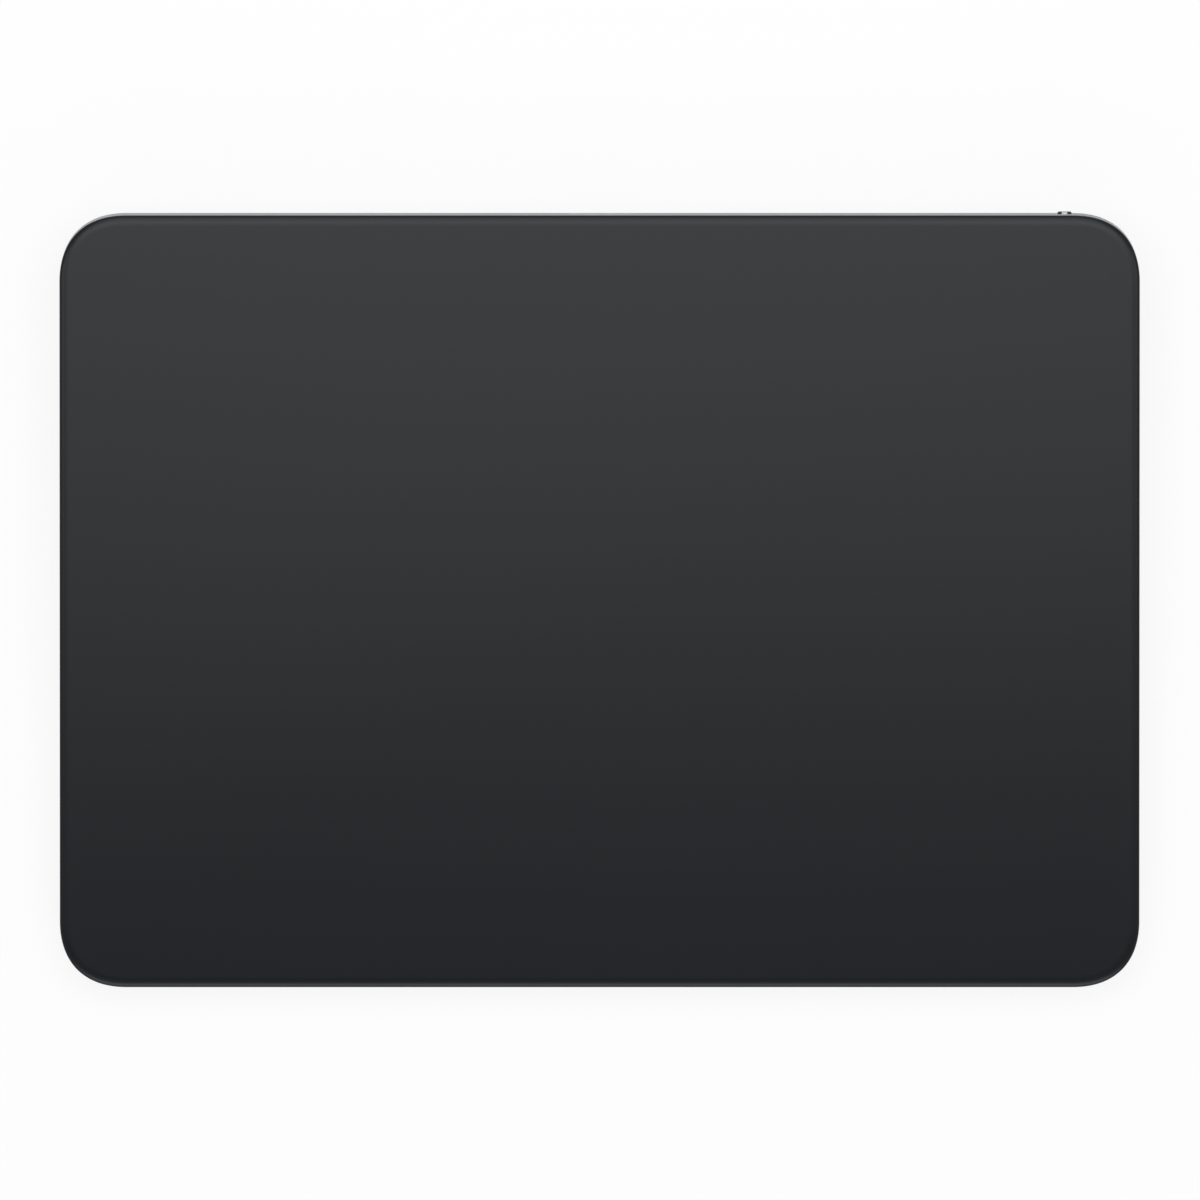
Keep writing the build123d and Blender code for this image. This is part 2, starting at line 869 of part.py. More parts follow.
def coax_sockets():
    stub = Circle(coax_socket_radius)
    top = antenna_top + coax_socket_height
    near = raised(stub, antenna_top, top, antenna_socket_x, antenna_y)
    return group([near, on_board(stub, coax_socket_height, coax_socket_at)])


def antenna_board():
    outline = Rectangle(antenna_across, antenna_along)
    board = raised(outline, floor_top, antenna_top, antenna_x, antenna_y)
    chip_x = antenna_x + antenna_across / 4
    chip = raised(
        Rectangle(*antenna_chip), antenna_top, antenna_top + antenna_chip_height, chip_x, antenna_y
    )
    return board + chip


def antenna_lead():
    end_x = board_x + coax_socket_at[0]
    end_y = board_y + coax_socket_at[1] - coax_socket_radius
    low = antenna_top + lead_radius + lead_gap
    high = board_top + lead_radius + lead_gap
    turn_y = antenna_y + antenna_along / 2 + lead_from_antenna
    path = FilletPolyline(
        (antenna_socket_x, antenna_y + coax_socket_radius, low),
        (antenna_socket_x, turn_y, low),
        (end_x, turn_y, low),
        (end_x, end_y, high),
        radius=lead_bend,
    )
    plane = Plane(origin=path @ 0, z_dir=path % 0)
    return sweep(plane * Circle(lead_radius), path=path)


def antenna_window():
    outline = antenna_window_outline(antenna_window_clearance)
    return raised(outline, cover_top, floor_top, antenna_x, antenna_y)


def leg_places():
    first = -(leg_count - 1) / 2 * leg_pitch
    return [first + i * leg_pitch for i in range(leg_count)]


def haptic_core():
    low = -core_drop - core_height / 2
    top = -core_drop + core_height / 2
    core = raised(Rectangle(core_across, core_bar_along), low, top, 0, core_v)
    for u in leg_places():
        leg = Rectangle(leg_across, leg_along)
        core += raised(leg, low, top, u, core_rear_v + leg_along / 2)
    for u, v, head in core_screw_places():
        ear = Rectangle(core_ear, core_bar_along)
        core += raised(ear, low, top, u, v)
        core -= raised(Circle(screw_radius + screw_play), low, top, u, v)
    return on_slope * core


def coil(u):
    across = leg_across + 2 * coil_gap
    height = core_height + 2 * coil_gap
    ring = RectangleRounded(across + 2 * coil_build, height + 2 * coil_build, coil_build)
    ring -= Rectangle(across, height)
    front = core_rear_v + coil_from_bar
    return on_slope * pushed(ring, front, front + coil_along, u, -core_drop)


def battery_flex():
    low = guard_top + flex_gap
    front = board_y + battery_socket_at[1] - battery_socket[1] / 2
    rear = battery_y - guard_board_along / 2 + flex_lap
    strip = Rectangle(battery_flex_across, rear - front)
    return raised(strip, low, low + flex_thickness, guard_x, (front + rear) / 2)


def port_flex():
    # Up from the socket's board, over the battery and down to the main board
    lift = flex_gap + flex_thickness / 2
    over_z = battery_top + lift
    w = port_board_top + port_socket_height + lift
    start_y, start_z = row_point(port_board_front_v + port_socket_along, w)
    rear_y = battery_rear_y + battery_from_port / 2
    end_x = board_x + port_board_socket_at[0]
    end_y = board_y + port_board_socket_at[1] - port_board_socket[1] / 2
    fall_y = battery_front_y - flex_fall
    down_z = board_socket_top + lift
    rear_line = (start_y, start_z), (rear_y, start_z), (rear_y, over_z), (battery_y, over_z)
    front_line = (battery_y, over_z), (fall_y, over_z), (fall_y, down_z), (end_y, down_z)
    rear = ribbon([(0, *at) for at in rear_line], port_flex_across)
    front = ribbon([(end_x, *at) for at in front_line], port_flex_across)
    bridge = Rectangle(port_flex_across - end_x, port_flex_across)
    low = battery_top + flex_gap
    return rear + front + raised(bridge, low, low + flex_thickness, end_x / 2, battery_y)


def switch_flex():
    lift = flex_gap + flex_thickness / 2
    v = port_board_front_v + switch_flex_across
    y, port_z = row_point(v, port_board_top + lift)
    switch_z = row_point(v, switch_body_under + lift)[1]
    board_end = switch_board_u - switch_board_across / 2
    port_end = port_board_across / 2
    return ribbon(
        [
            (board_end + flex_lap, y, switch_z),
            (board_end - flex_fall, y, switch_z),
            (board_end - flex_fall, y, floor_flex_z),
            (port_end + flex_fall, y, floor_flex_z),
            (port_end + flex_fall, y, port_z),
            (port_end - flex_lap, y, port_z),
        ],
        switch_flex_across,
        (0, 1, 0),
    )


def board_tail(socket, place, start_y):
    # A strip along the floor that climbs to a socket at the main board's front edge
    x = board_x + place[0]
    y = board_y + place[1]
    z = board_socket_top + flex_gap + flex_thickness / 2
    edge = board_front_y - flex_fall
    line = (start_y, floor_flex_z), (edge, floor_flex_z), (edge, z), (y, z)
    return ribbon([(x, *at) for at in line], socket[0])


def haptic_flex():
    y = row_point(core_rear_v + coil_from_bar + coil_along / 2, -core_drop)[0]
    low = floor_top + flex_gap
    end = board_x + haptic_socket_at[0] - haptic_socket[0] / 2
    strip = Rectangle(haptic_flex_end - end, haptic_flex_across)
    flex = raised(strip, low, low + flex_thickness, (haptic_flex_end + end) / 2, y)
    return flex + board_tail(haptic_socket, haptic_socket_at, y)


def touch_flex():
    lift = flex_gap + flex_thickness / 2
    low_z = board_socket_top + lift
    start_y = board_y + touch_board_socket_at[1] - touch_socket_along / 2
    high_w = sensor_under - touch_socket_height - lift
    high_y = row_point(touch_chip_v + touch_socket_along / 2, high_w)[0]
    high_z = row_point(touch_chip_v - touch_socket_along / 2, high_w)[1]
    rise_y = battery_front_y - touch_flex_rise
    x = touch_flex_x
    return ribbon(
        [(x, start_y, low_z), (x, rise_y, low_z), (x, rise_y, high_z), (x, high_y, high_z)],
        touch_flex_across,
    )


def force_flex():
    # A strip round the floor with a tail up to the gauge of each flexure
    low = floor_top + flex_gap
    high = low + flex_thickness
    z_lift = gauge_top + flex_gap + flex_thickness / 2
    front_y, front_z = row_point(-gauge_v, z_lift)
    rear_y, rear_z = row_point(gauge_v, z_lift)
    side = Rectangle(force_flex_across, rear_y - front_y + force_flex_across)
    cross = Rectangle(2 * strip_x, force_flex_across)
    flex = raised(cross, low, high, 0, front_y)
    for direction in (-1, 1):
        flex += raised(side, low, high, direction * strip_x, (front_y + rear_y) / 2)
    flex += board_tail(force_socket, force_socket_at, front_y)
    end = pad_u - gauge_across / 2 + tail_lap
    for direction in (-1, 1):
        for y, z in ((front_y, front_z), (rear_y, rear_z)):
            step = strip_x + tail_run
            line = (strip_x, floor_flex_z), (step, floor_flex_z), (step, z), (end, z)
            points = [(direction * x, y, height) for x, height in line]
            flex += ribbon(points, tail_across, (0, 1, 0))
    return flex


nodes = {
    "glass_plate": glass_plate(),
    "touch_sensor_board": touch_sensor_board(),
    "stiffener_plate": stiffener_plate(),
    "touch_chips": touch_chips(),
    "haptic_armature": haptic_armature(),
    "flexure_pads": flexure_pads(),
    "enclosure": enclosure(),
    "bottom_cover": bottom_cover(),
    "antenna_window": antenna_window(),
    "strain_gauges": strain_gauges(),
    "flexure_screws": slope_screws(leaf_screw_places(), leaf_thickness),
    "port_shell": port_shell(),
    "port_tongue": port_tongue(),
    "port_contacts": port_contacts(),
    "port_board": port_board(),
    "port_bracket": port_bracket(),
    "port_screws": slope_screws(port_screw_places(), bracket_thickness + port_board_thickness),
    "switch_slider": switch_slider(),
    "switch_lever": switch_lever(),
    "switch_body": switch_body(),
    "switch_board": switch_board(),
    "switch_screw": slope_screws(switch_screw_places(), switch_board_thickness),
    "battery_cell": battery_cell(),
    "battery_guard_board": battery_guard_board(),
    "battery_tabs": battery_tabs(),
    "battery_strips": battery_strips(),
    "main_board": main_board(),
    "large_shield": shield(large_shield, large_shield_at),
    "small_shield": shield(small_shield, small_shield_at),
    "board_chips": board_chips(),
    "board_sockets": board_sockets(),
    "board_screws": group([Pos(*at) * screw(board_thickness) for at in board_screw_places()]),
    "coax_sockets": coax_sockets(),
    "antenna_board": antenna_board(),
    "antenna_lead": antenna_lead(),
    "haptic_core": haptic_core(),
    "haptic_screws": slope_screws(core_screw_places(), core_height),
    "battery_flex": battery_flex(),
    "port_flex": port_flex(),
    "switch_flex": switch_flex(),
    "haptic_flex": haptic_flex(),
    "touch_flex": touch_flex(),
    "force_flex": force_flex(),
}
for name, (side_u, side_v), place in zip(corner_names, corners, foot_places()):
    nodes["flexure_" + name] = flexure(side_u, side_v)
    nodes["foot_" + name] = foot(place)
for number, u in enumerate(leg_places(), 1):
    nodes[f"haptic_coil_{number}"] = coil(u)

os.makedirs("parts", exist_ok=True)
for name, shape in nodes.items():
    export_step(shape, f"parts/{name}.step")
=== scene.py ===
from math import cos, pi, radians, sin, tan

import bmesh
import bpy
from mathutils import Matrix, Vector


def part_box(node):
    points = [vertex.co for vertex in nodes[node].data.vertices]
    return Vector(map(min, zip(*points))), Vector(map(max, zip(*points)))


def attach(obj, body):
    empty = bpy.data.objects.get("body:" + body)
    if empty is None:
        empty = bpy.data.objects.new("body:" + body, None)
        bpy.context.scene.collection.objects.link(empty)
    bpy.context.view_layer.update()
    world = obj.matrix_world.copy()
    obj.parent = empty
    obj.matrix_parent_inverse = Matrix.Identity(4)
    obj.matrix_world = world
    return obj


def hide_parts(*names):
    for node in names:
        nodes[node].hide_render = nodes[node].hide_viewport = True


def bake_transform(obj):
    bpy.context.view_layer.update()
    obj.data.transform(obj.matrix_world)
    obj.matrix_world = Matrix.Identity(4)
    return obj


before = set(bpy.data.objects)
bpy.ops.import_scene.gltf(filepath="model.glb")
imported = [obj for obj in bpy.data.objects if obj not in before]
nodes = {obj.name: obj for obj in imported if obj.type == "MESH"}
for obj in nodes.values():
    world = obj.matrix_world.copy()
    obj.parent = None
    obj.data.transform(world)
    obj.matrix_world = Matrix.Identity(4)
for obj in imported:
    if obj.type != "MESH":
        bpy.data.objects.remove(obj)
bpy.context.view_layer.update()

mm = 0.001
weld = 0.001 * mm
both_ways = (-1, 1)
quarters = ((1, 1), (-1, 1), (-1, -1), (1, -1))

# Glass plate and the slope it lies on
width = 160.0 * mm
slope_depth = 114.5 * mm
front_height = 4.9 * mm
slope_angle = radians(3.0)
corner_reach = 9.8 * mm
corner_handle_share = 0.63
round_handle_share = 0.4477
glass_sizes = {"Thickness": 1.0 * mm, "Edge Run": 1.6 * mm, "Edge Drop": 0.55 * mm, "Arris": 0.06 * mm}
glass_settle = 0.001 * mm
stand = 0.6 * mm
bottom_round = 1.2 * mm
rise = slope_depth * sin(slope_angle)
mid_z = front_height + rise / 2
mid_y = -(front_height + rise - stand - bottom_round) * tan(slope_angle) / 2
slope = Matrix.Translation((0, mid_y, mid_z)) @ Matrix.Rotation(slope_angle, 4, "X")
hanging = slope @ Matrix.Rotation(pi, 4, "X")

# Feet
foot_sizes = {
    "Radius": 4.5 * mm,
    "Height": 0.9 * mm,
    "Round": 0.25 * mm,
    "Ring Radius": 3.1 * mm,
    "Ring Across": 0.35 * mm,
    "Ring Depth": 0.14 * mm,
}
foot_ring_floor_share = 0.3

# Screws: places in the slope frame, or in the level frame for the main board
thread_run = 0.9 * mm
screw_sizes = {
    "Head Radius": 1.2 * mm,
    "Head Height": 0.4 * mm,
    "Head Break": 0.12 * mm,
    "Recess Radius": 0.55 * mm,
    "Recess Depth": 0.22 * mm,
    "Shank Radius": 0.68 * mm,
    "Shank Length": thread_run,
    "Thread Pitch": 0.3 * mm,
    "Thread Depth": 0.11 * mm,
}
head_soft_shares = (0.35, 0.3)
recess_taper = 0.3
thread_rows = 26
flexure_u, flexure_v, flexure_w = 69.0 * mm, 29.0 * mm, -2.7 * mm
flexure_screw_pitch = 7.0 * mm
leaf_thickness = 0.4 * mm
core_u, core_v, core_w = 24.5 * mm, -18.25 * mm, -2.9 * mm
core_height = 1.2 * mm
port_screw_u, port_screw_v, port_screw_w = 6.7 * mm, 53.15 * mm, -6.97907 * mm
port_grip = 1.2 * mm
switch_screw_place = (62.3 * mm, 51.95 * mm, -6.89907 * mm)
switch_grip = 0.6 * mm
board_x, board_y, board_top = -30.0 * mm, 2.87297 * mm, 3.0 * mm
board_screw_x, board_screw_y = 27.8 * mm, 6.8 * mm
board_grip = 0.6 * mm

# Runs over which the leaves and the touch board's lead bend, and how often they are cut across
leaf_bend_start = 35.6 * mm
leaf_bend_end = 41.0 * mm
leaf_cuts = 12
touch_flex_place = (-46.5 * mm, 14.0 * mm)
touch_flex_low = 4.4 * mm
touch_flex_high = 6.1 * mm
touch_flex_cuts = 8

# Haptic coils; the last three are in wire radii
coil_count = 4
coil_pitch = 11.0 * mm
coil_front = -16.1 * mm
coil_length = 5.0 * mm
coil_drop = 3.5 * mm
coil_sizes = {
    "Across": 5.4 * mm,
    "Height": 1.6 * mm,
    "Length": coil_length,
    "Turns": 17,
    "Wire Radius": 0.14 * mm,
}
wire_layers = 2
steps_per_turn = 30.0
layer_spread = 4.0
inner_turn_corner = 1.5
layer_corner_step = 2.0

# Charging contacts
contact_sizes = {
    "Count": 12,
    "Pitch": 0.5 * mm,
    "Across": 0.26 * mm,
    "Length": 3.4 * mm,
    "Height": 0.04 * mm,
    "Apart": 0.7 * mm,
}
contact_round_share = 0.49
contact_rear = 55.25 * mm
socket_w = -5.79907 * mm

# Chips: leads, moulded bodies, and dimples whose corners and places are in their own radii
chip_inset = 0.42 * mm
lead_sizes = {"Reach": chip_inset, "Rise": 0.32 * mm, "Across": 0.22 * mm, "Thickness": 0.08 * mm}
lead_pitch = 0.5 * mm
lead_bend_share = 0.45
four_sided_size = 3.5 * mm
chip_corner = 0.1 * mm
chip_draft = 0.05 * mm
chip_stand = 0.05 * mm
chip_parting_shares = (0.42, 0.5)
chip_top_edge = 0.03 * mm
chip_top_drafts = 1.8
dimple_share = 0.16
dimple_from_edge = 2.3
dimple_draft = 0.3
dimple_corners = (0.69, 0.99)
dimple_depth = 0.06 * mm
dimple_over = 0.02 * mm

# Flexible circuits' sockets: low frames with two slots, shares of half across and of height
socket_inset = 0.24 * mm
socket_pitch = 0.4 * mm
socket_edge = 0.07 * mm
socket_corners = (0.15 * mm, 0.12 * mm)
slot_corners = (0.05 * mm, 0.07 * mm)
slot_end = 0.45 * mm
slot_over = 0.01 * mm
slot_middle_share = 0.52
slot_half_share = 0.24
slot_wall_share = 0.76
slot_floor_share = 0.3
contact_sizes_in_socket = {"Reach": socket_inset, "Rise": 0.3 * mm, "Across": 0.18 * mm}
tallest_socket = 0.8 * mm
port_socket_from = 20 * mm

# Small parts: long, across, tall, and where along its length from the middle a cap begins
part_sizes = {
    "wide": (1.0 * mm, 0.5 * mm, 0.4 * mm, 0.26),
    "narrow": (0.6 * mm, 0.3 * mm, 0.3 * mm, 0.26),
    "aerial": (7.12 * mm, 2.46 * mm, 0.58 * mm, 0.37),
}
bar_sizes = {"Long": 1.0 * mm, "Across": 0.5 * mm, "Tall": 0.4 * mm, "Start": -0.4, "End": 0.4, "Copies": 1}
part_body_tall = 0.92
part_cap_across = 1.06
part_round_share = 0.14
touch_board_under = 1.4 * mm
aerial_top = 2.4 * mm
# Rows of small parts in millimetres: size, first place, step, how many, quarter turns
part_rows = (
    ("wide", -36.2, -0.6, 0.0, 1.0, 8, 0),
    ("narrow", -34.6, -0.9, 0.0, 0.7, 12, 0),
    ("wide", -22.4, -1.0, 0.0, 1.0, 9, 0),
    ("narrow", -21.0, -1.0, 0.0, 0.7, 13, 0),
    ("narrow", -13.3, 0.6, 0.0, 0.7, 9, 0),
    ("wide", -29.8, 9.2, 1.0, 0.0, 12, 1),
    ("narrow", -16.4, 9.2, 0.7, 0.0, 14, 1),
    ("wide", -12.2, -3.4, 1.1, 0.0, 8, 1),
    ("narrow", -37.6, -3.4, 0.7, 0.0, 24, 1),
    ("narrow", -5.6, 6.0, 0.7, 0.0, 5, 1),
    ("narrow", -5.6, -0.4, 0.7, 0.0, 5, 1),
    ("wide", -53.9, 3.2, 0.0, 1.0, 5, 0),
)
touch_rows = (
    ("wide", -7.4, -21.4, 1.1, 0.0, 6, 1),
    ("wide", 2.1, -21.4, 1.1, 0.0, 6, 1),
    ("narrow", -7.0, -11.0, 0.7, 0.0, 9, 1),
    ("narrow", 2.5, -11.0, 0.7, 0.0, 9, 1),
    ("wide", -10.2, -18.6, 0.0, 1.1, 6, 0),
    ("wide", 10.2, -18.6, 0.0, 1.1, 6, 0),
    ("wide", 39.3, -21.4, 1.1, 0.0, 6, 1),
    ("narrow", 36.6, -18.6, 0.0, 0.8, 8, 0),
    ("wide", -48.0, -20.0, 1.1, 0.0, 4, 1),
)
aerial_rows = (("aerial", 50.0, -42.01, 0.0, 0.0, 1, 0),)

# Shields: a lid over a folded frame, dimpled by rows of pins
lid_thickness = 0.1 * mm
lid_edge = 0.16 * mm
lid_edge_middle = 0.05 * mm
lid_drop_share = 0.3
shield_wall = 0.25 * mm
shield_roof = 0.2 * mm
shield_corners = (0.25 * mm, 0.35 * mm, 0.2 * mm)
pin_sizes = {"Radius": 0.35 * mm, "Depth": 0.08 * mm}
pin_tip_share, pin_head_share = 0.6, 1.1
pin_pitch = 1.5 * mm
pin_margin = 2.2 * mm

# Aerial and strain gauges
aerial_track_place = (41.2 * mm, -42.01 * mm, aerial_top)
aerial_track = {"Runs": 9, "Pitch": 1.05 * mm, "Length": 4.4 * mm, "Across": 0.5 * mm, "Thickness": 0.05 * mm}
gauge_track = {
    "Runs": 13,
    "Pitch": 0.2 * mm,
    "Length": 2.3 * mm,
    "Across": 0.09 * mm,
    "Thickness": 0.024 * mm,
}
gauge_sink = 0.008 * mm
track_round_share = 0.3

# Turned pieces: the aerial sockets' profile in shares of radius and height, and the gel pads' sizes
coax_profile = (
    (0, 0), (1, 0), (1, 0.16), (0.86, 0.22), (0.86, 0.45), (0.94, 0.55), (0.94, 0.9), (0.87, 1.0),
    (0.78, 1.0), (0.74, 0.92), (0.74, 0.2), (0.2, 0.2), (0.2, 0.72), (0.12, 0.84), (0, 0.84),
)
coax_sizes = {"Radius": 1.0 * mm, "Height": 0.9 * mm}
pad_sizes = {"Radius": 3.0 * mm, "Height": 0.8 * mm, "Round": 0.14 * mm, "Waist": 0.09 * mm}
pad_waist_shares = (0.35, 0.5, 0.65)

# Battery: its pouch, its sealed ledge and the tape under it
pouch_ledge = 2.6 * mm
pouch_under = 0.35 * mm
pouch_over = 0.9 * mm
pouch_corners = (1.3 * mm, 1.5 * mm, 1.6 * mm)
ledge_overlap = 0.2 * mm
ledge_inset = 1.2 * mm
ledge_corner = 0.3 * mm
ledge_edge = 0.03 * mm
ledge_covers = (0.06 * mm, 0.1 * mm)
tape_corner = 0.9 * mm
tape_edge = 0.04 * mm

# Switch knob; the dark inserts at the ends of its crest are painted shade
knob_u = 68.9 * mm
knob_crest = 0.42 * mm
shade_insert_depth = 0.55 * mm
shade_insert_half_across = 1.0 * mm
shade_insert_half_height = 2 * mm
shade_insert_corner = 0.05 * mm
shade_insert_gap = 0.015 * mm

# Camera, as the photograph frames the part
photo_across = 177.77 * mm
lens_length = 1200.0
film_width = 36.0
lens_near, lens_far = 0.1, 20.0
camera_shift = Vector((0.058 * mm, 0.009 * mm))

# Studio levels, where 1 is white
room_level = 0.52
wall_level = 0.45
ceiling_level = 0.2
sky_turn = (0.3, 0.8)
floor_glow = 0.82
floor_glow_in_metal = 0.4
full_white = (1.0, 1.0, 1.0, 1.0)
floor_white = (0.97, 0.97, 0.97, 1.0)
floor_reach = 4.0
floor_level = -0.01 * mm
# Level panels that face down: middle across and along, size across and along, height, level
softboxes = {
    "rear_softbox": (0.0, 0.1785, 0.388, 0.437, 0.35, 1.07),
    "rear_left_strip": (-0.13, 0.118, 0.18, 0.07, 0.346, 1.1),
    "rear_middle_strip": (0.0, 0.125, 0.08, 0.06, 0.346, 0.8),
    "rear_right_strip": (0.13, 0.118, 0.18, 0.07, 0.346, 1.1),
    "left_softbox": (-0.343, 0.0385, 0.182, 0.117, 0.35, 1.61),
    "right_softbox": (0.343, 0.0385, 0.182, 0.117, 0.35, 1.61),
    "front_softbox": (0.0, -0.55, 0.752, 0.40, 0.35, 1.52),
}


# Node helpers
def sign(operation, swapped=False):
    # A plain sign between a wire and a wire or a number, as a maths node
    def worked(wire, other):
        pair = (other, wire) if swapped else (wire, other)
        return maths(wire.socket.id_data, operation, *pair)

    return worked


class Wire:
    # What a node gives; plain signs between wires and numbers add maths nodes
    def __init__(self, socket):
        self.socket = socket

    def __neg__(self):
        return self * -1.0

    __add__ = sign("ADD")
    __radd__ = sign("ADD", swapped=True)
    __sub__ = sign("SUBTRACT")
    __mul__ = sign("MULTIPLY")
    __truediv__ = sign("DIVIDE")
    __mod__ = sign("MODULO")


def feed(node, inputs):
    # Puts wires and plain values into a node's inputs
    for name, value in dict(inputs).items():
        if isinstance(value, Wire):
            node.id_data.links.new(value.socket, node.inputs[name])
        else:
            node.inputs[name].default_value = value
    return node


def add(tree, kind, inputs=(), **settings):
    made = tree.nodes.new(kind)
    for name, value in settings.items():
        setattr(made, name, value)
    return feed(made, inputs)


def given_by(tree, kind, inputs=(), output=0, **settings):
    # One output of a new node
    return Wire(add(tree, kind, inputs, **settings).outputs[output])


def maker(kind, *labels, fixed=(), **settings):
    # A function that adds one kind of node to a tree, with its inputs in this order
    def made(tree, *values):
        return given_by(tree, kind, {**dict(fixed), **dict(zip(labels, values))}, **settings)

    return made


def maths(tree, operation, *values):
    return given_by(tree, "ShaderNodeMath", enumerate(values), operation=operation)


scaled = maker("ShaderNodeVectorMath", 0, "Scale", operation="SCALE")


def axes(tree, place):
    return [Wire(socket) for socket in add(tree, "ShaderNodeSeparateXYZ", {0: place}).outputs]


def lead_out(ends, *wires):
    for end, wire in zip(ends, wires):
        end.id_data.links.new(wire.socket, end)


def new_tree(kind, name, inputs, result_type, *results):
    # An input's value sets its type, and a word in its place is the type of one without a value
    types = {float: "NodeSocketFloat", int: "NodeSocketInt", tuple: "NodeSocketVector"}
    tree = bpy.data.node_groups.new(name, kind)
    for label, value in inputs.items():
        socket_type = types.get(type(value), value)
        socket = tree.interface.new_socket(label, in_out="INPUT", socket_type=socket_type)
        if socket_type != value:
            socket.default_value = value
    for label in results:
        tree.interface.new_socket(label, in_out="OUTPUT", socket_type=result_type)
    given = tree.nodes.new("NodeGroupInput").outputs
    ends = tree.nodes.new("NodeGroupOutput").inputs
    return tree, [Wire(given[label]) for label in inputs], [ends[label] for label in results]


# Shared shader groups; noise keeps near its middle, so a gain brings a swing to its full width
swing_gain = 4.0
side_facing = 0.3
rings_per_cell, ring_share, hole_share = 3.0, 0.5, 0.11


def grain_group():
    # Fine grain and a slow drift of gloss, as blasting, moulding or etching leaves them
    inputs = {
        "Grain Per Metre": 9000.0,
        "Stretch": (1.0, 1.0, 1.0),
        "Drift Per Metre": 35.0,
        "Roughness": 0.45,
        "Roughness Swing": 0.05,
        "Shade Swing": 0.04,
    }
    outputs = ("Height", "Roughness", "Shade")
    tree, given, ends = new_tree("ShaderNodeTree", "surface_grain", inputs, "NodeSocketFloat", *outputs)
    grain_scale, stretch, drift_scale, rough, rough_swing, shade_swing = given
    place = given_by(tree, "ShaderNodeTexCoord", output="Object")
    place = given_by(tree, "ShaderNodeMapping", {"Vector": place, "Scale": stretch})
    grain, drift = [
        given_by(tree, "ShaderNodeTexNoise", {"Vector": place, "Scale": scale, "Detail": detail})
        for scale, detail in ((grain_scale, 3.0), (drift_scale, 5.0))
    ]
    centred = grain * 0.5 + drift * 0.5 - 0.5
    rough_swing, shade_swing = rough_swing * swing_gain, shade_swing * swing_gain
    lead_out(ends, grain, rough + centred * rough_swing, 1.0 + centred * shade_swing)
    return tree


def track_group():
    # Parallel copper tracks in a flexible circuit, along either level axis
    inputs = {"Pitch": 0.4 * mm, "Share": 0.55}
    tree, given, ends = new_tree("ShaderNodeTree", "copper_tracks", inputs, "NodeSocketFloat", "Mask")
    pitch, share = given
    place = axes(tree, given_by(tree, "ShaderNodeTexCoord", output="Object"))
    facing = axes(tree, given_by(tree, "ShaderNodeNewGeometry", output="Normal"))
    masks = []
    for axis in (0, 1):
        masks.append(maths(tree, "LESS_THAN", maths(tree, "FRACT", place[axis] / pitch), share))
    sideways = maths(tree, "GREATER_THAN", maths(tree, "ABSOLUTE", facing[0]), side_facing)
    lead_out(ends, given_by(tree, "ShaderNodeMix", {0: sideways, 2: masks[0], 3: masks[1]}))
    return tree


def board_group():
    # Copper under solder resist: tracks that turn square corners, and plated holes
    inputs = {"Tracks Per Metre": 900.0, "Holes Per Metre": 420.0}
    outputs = ("Tracks", "Holes")
    tree, given, ends = new_tree("ShaderNodeTree", "board_copper", inputs, "NodeSocketFloat", *outputs)
    place = given_by(tree, "ShaderNodeTexCoord", output="Object")
    flat = given_by(tree, "ShaderNodeVectorMath", {0: place, 1: (1.0, 1.0, 0.0)}, operation="MULTIPLY")
    cells, dots = [
        given_by(
            tree,
            "ShaderNodeTexVoronoi",
            {"Vector": flat, "Scale": scale, "Randomness": randomness},
            output="Distance",
            distance=distance,
            feature="F1",
        )
        for scale, randomness, distance in ((given[0], 0.85, "CHEBYCHEV"), (given[1], 0.7, "EUCLIDEAN"))
    ]
    ring = maths(tree, "FRACT", cells * rings_per_cell)
    holes = maths(tree, "LESS_THAN", dots, hole_share)
    lead_out(ends, maths(tree, "LESS_THAN", ring, ring_share), holes)
    return tree


grain_tree = grain_group()
track_tree = track_group()
board_tree = board_group()


# Finishes
def finish_of(
    name,
    colour,
    rough,
    swing=0.05,
    per_metre=9000.0,
    shade=0.04,
    stretch=(1.0, 1.0, 1.0),
    drift=35.0,
    metallic=0.0,
    bump=0.006,
    **plain,
):
    # A Principled surface whose grain drives its colour, roughness and bump
    made = bpy.data.materials.new(name)
    made.use_nodes = True
    tree = made.node_tree
    grain = {
        "Roughness": rough,
        "Roughness Swing": swing,
        "Grain Per Metre": per_metre,
        "Shade Swing": shade,
        "Stretch": stretch,
        "Drift Per Metre": drift,
    }
    surface = add(tree, "ShaderNodeGroup", grain, node_tree=grain_tree).outputs
    relief = {"Height": Wire(surface["Height"]), "Distance": bump * mm, "Strength": 1.0}
    inputs = {
        "Metallic": metallic,
        "Base Color": scaled(tree, colour, Wire(surface["Shade"])),
        "Roughness": Wire(surface["Roughness"]),
        "Normal": given_by(tree, "ShaderNodeBump", relief),
    }
    inputs.update((label.replace("_", " "), value) for label, value in plain.items())
    feed(tree.nodes["Principled BSDF"], inputs)
    return made


def metal_of(*given, **more):
    return finish_of(*given, metallic=1.0, **more)


def with_pattern(made, pattern, layers):
    # Lays second colours over a finish: mask of the pattern, colour, how much of it
    tree = made.node_tree
    shader = tree.nodes["Principled BSDF"]
    masks = add(tree, "ShaderNodeGroup", node_tree=pattern).outputs
    for label, colour, share in layers:
        under = Wire(shader.inputs["Base Color"].links[0].from_socket)
        given = {0: Wire(masks[label]) * share, 6: under, 7: (*colour, 1.0)}
        feed(shader, {"Base Color": given_by(tree, "ShaderNodeMix", given, output=2, data_type="RGBA")})
    return made


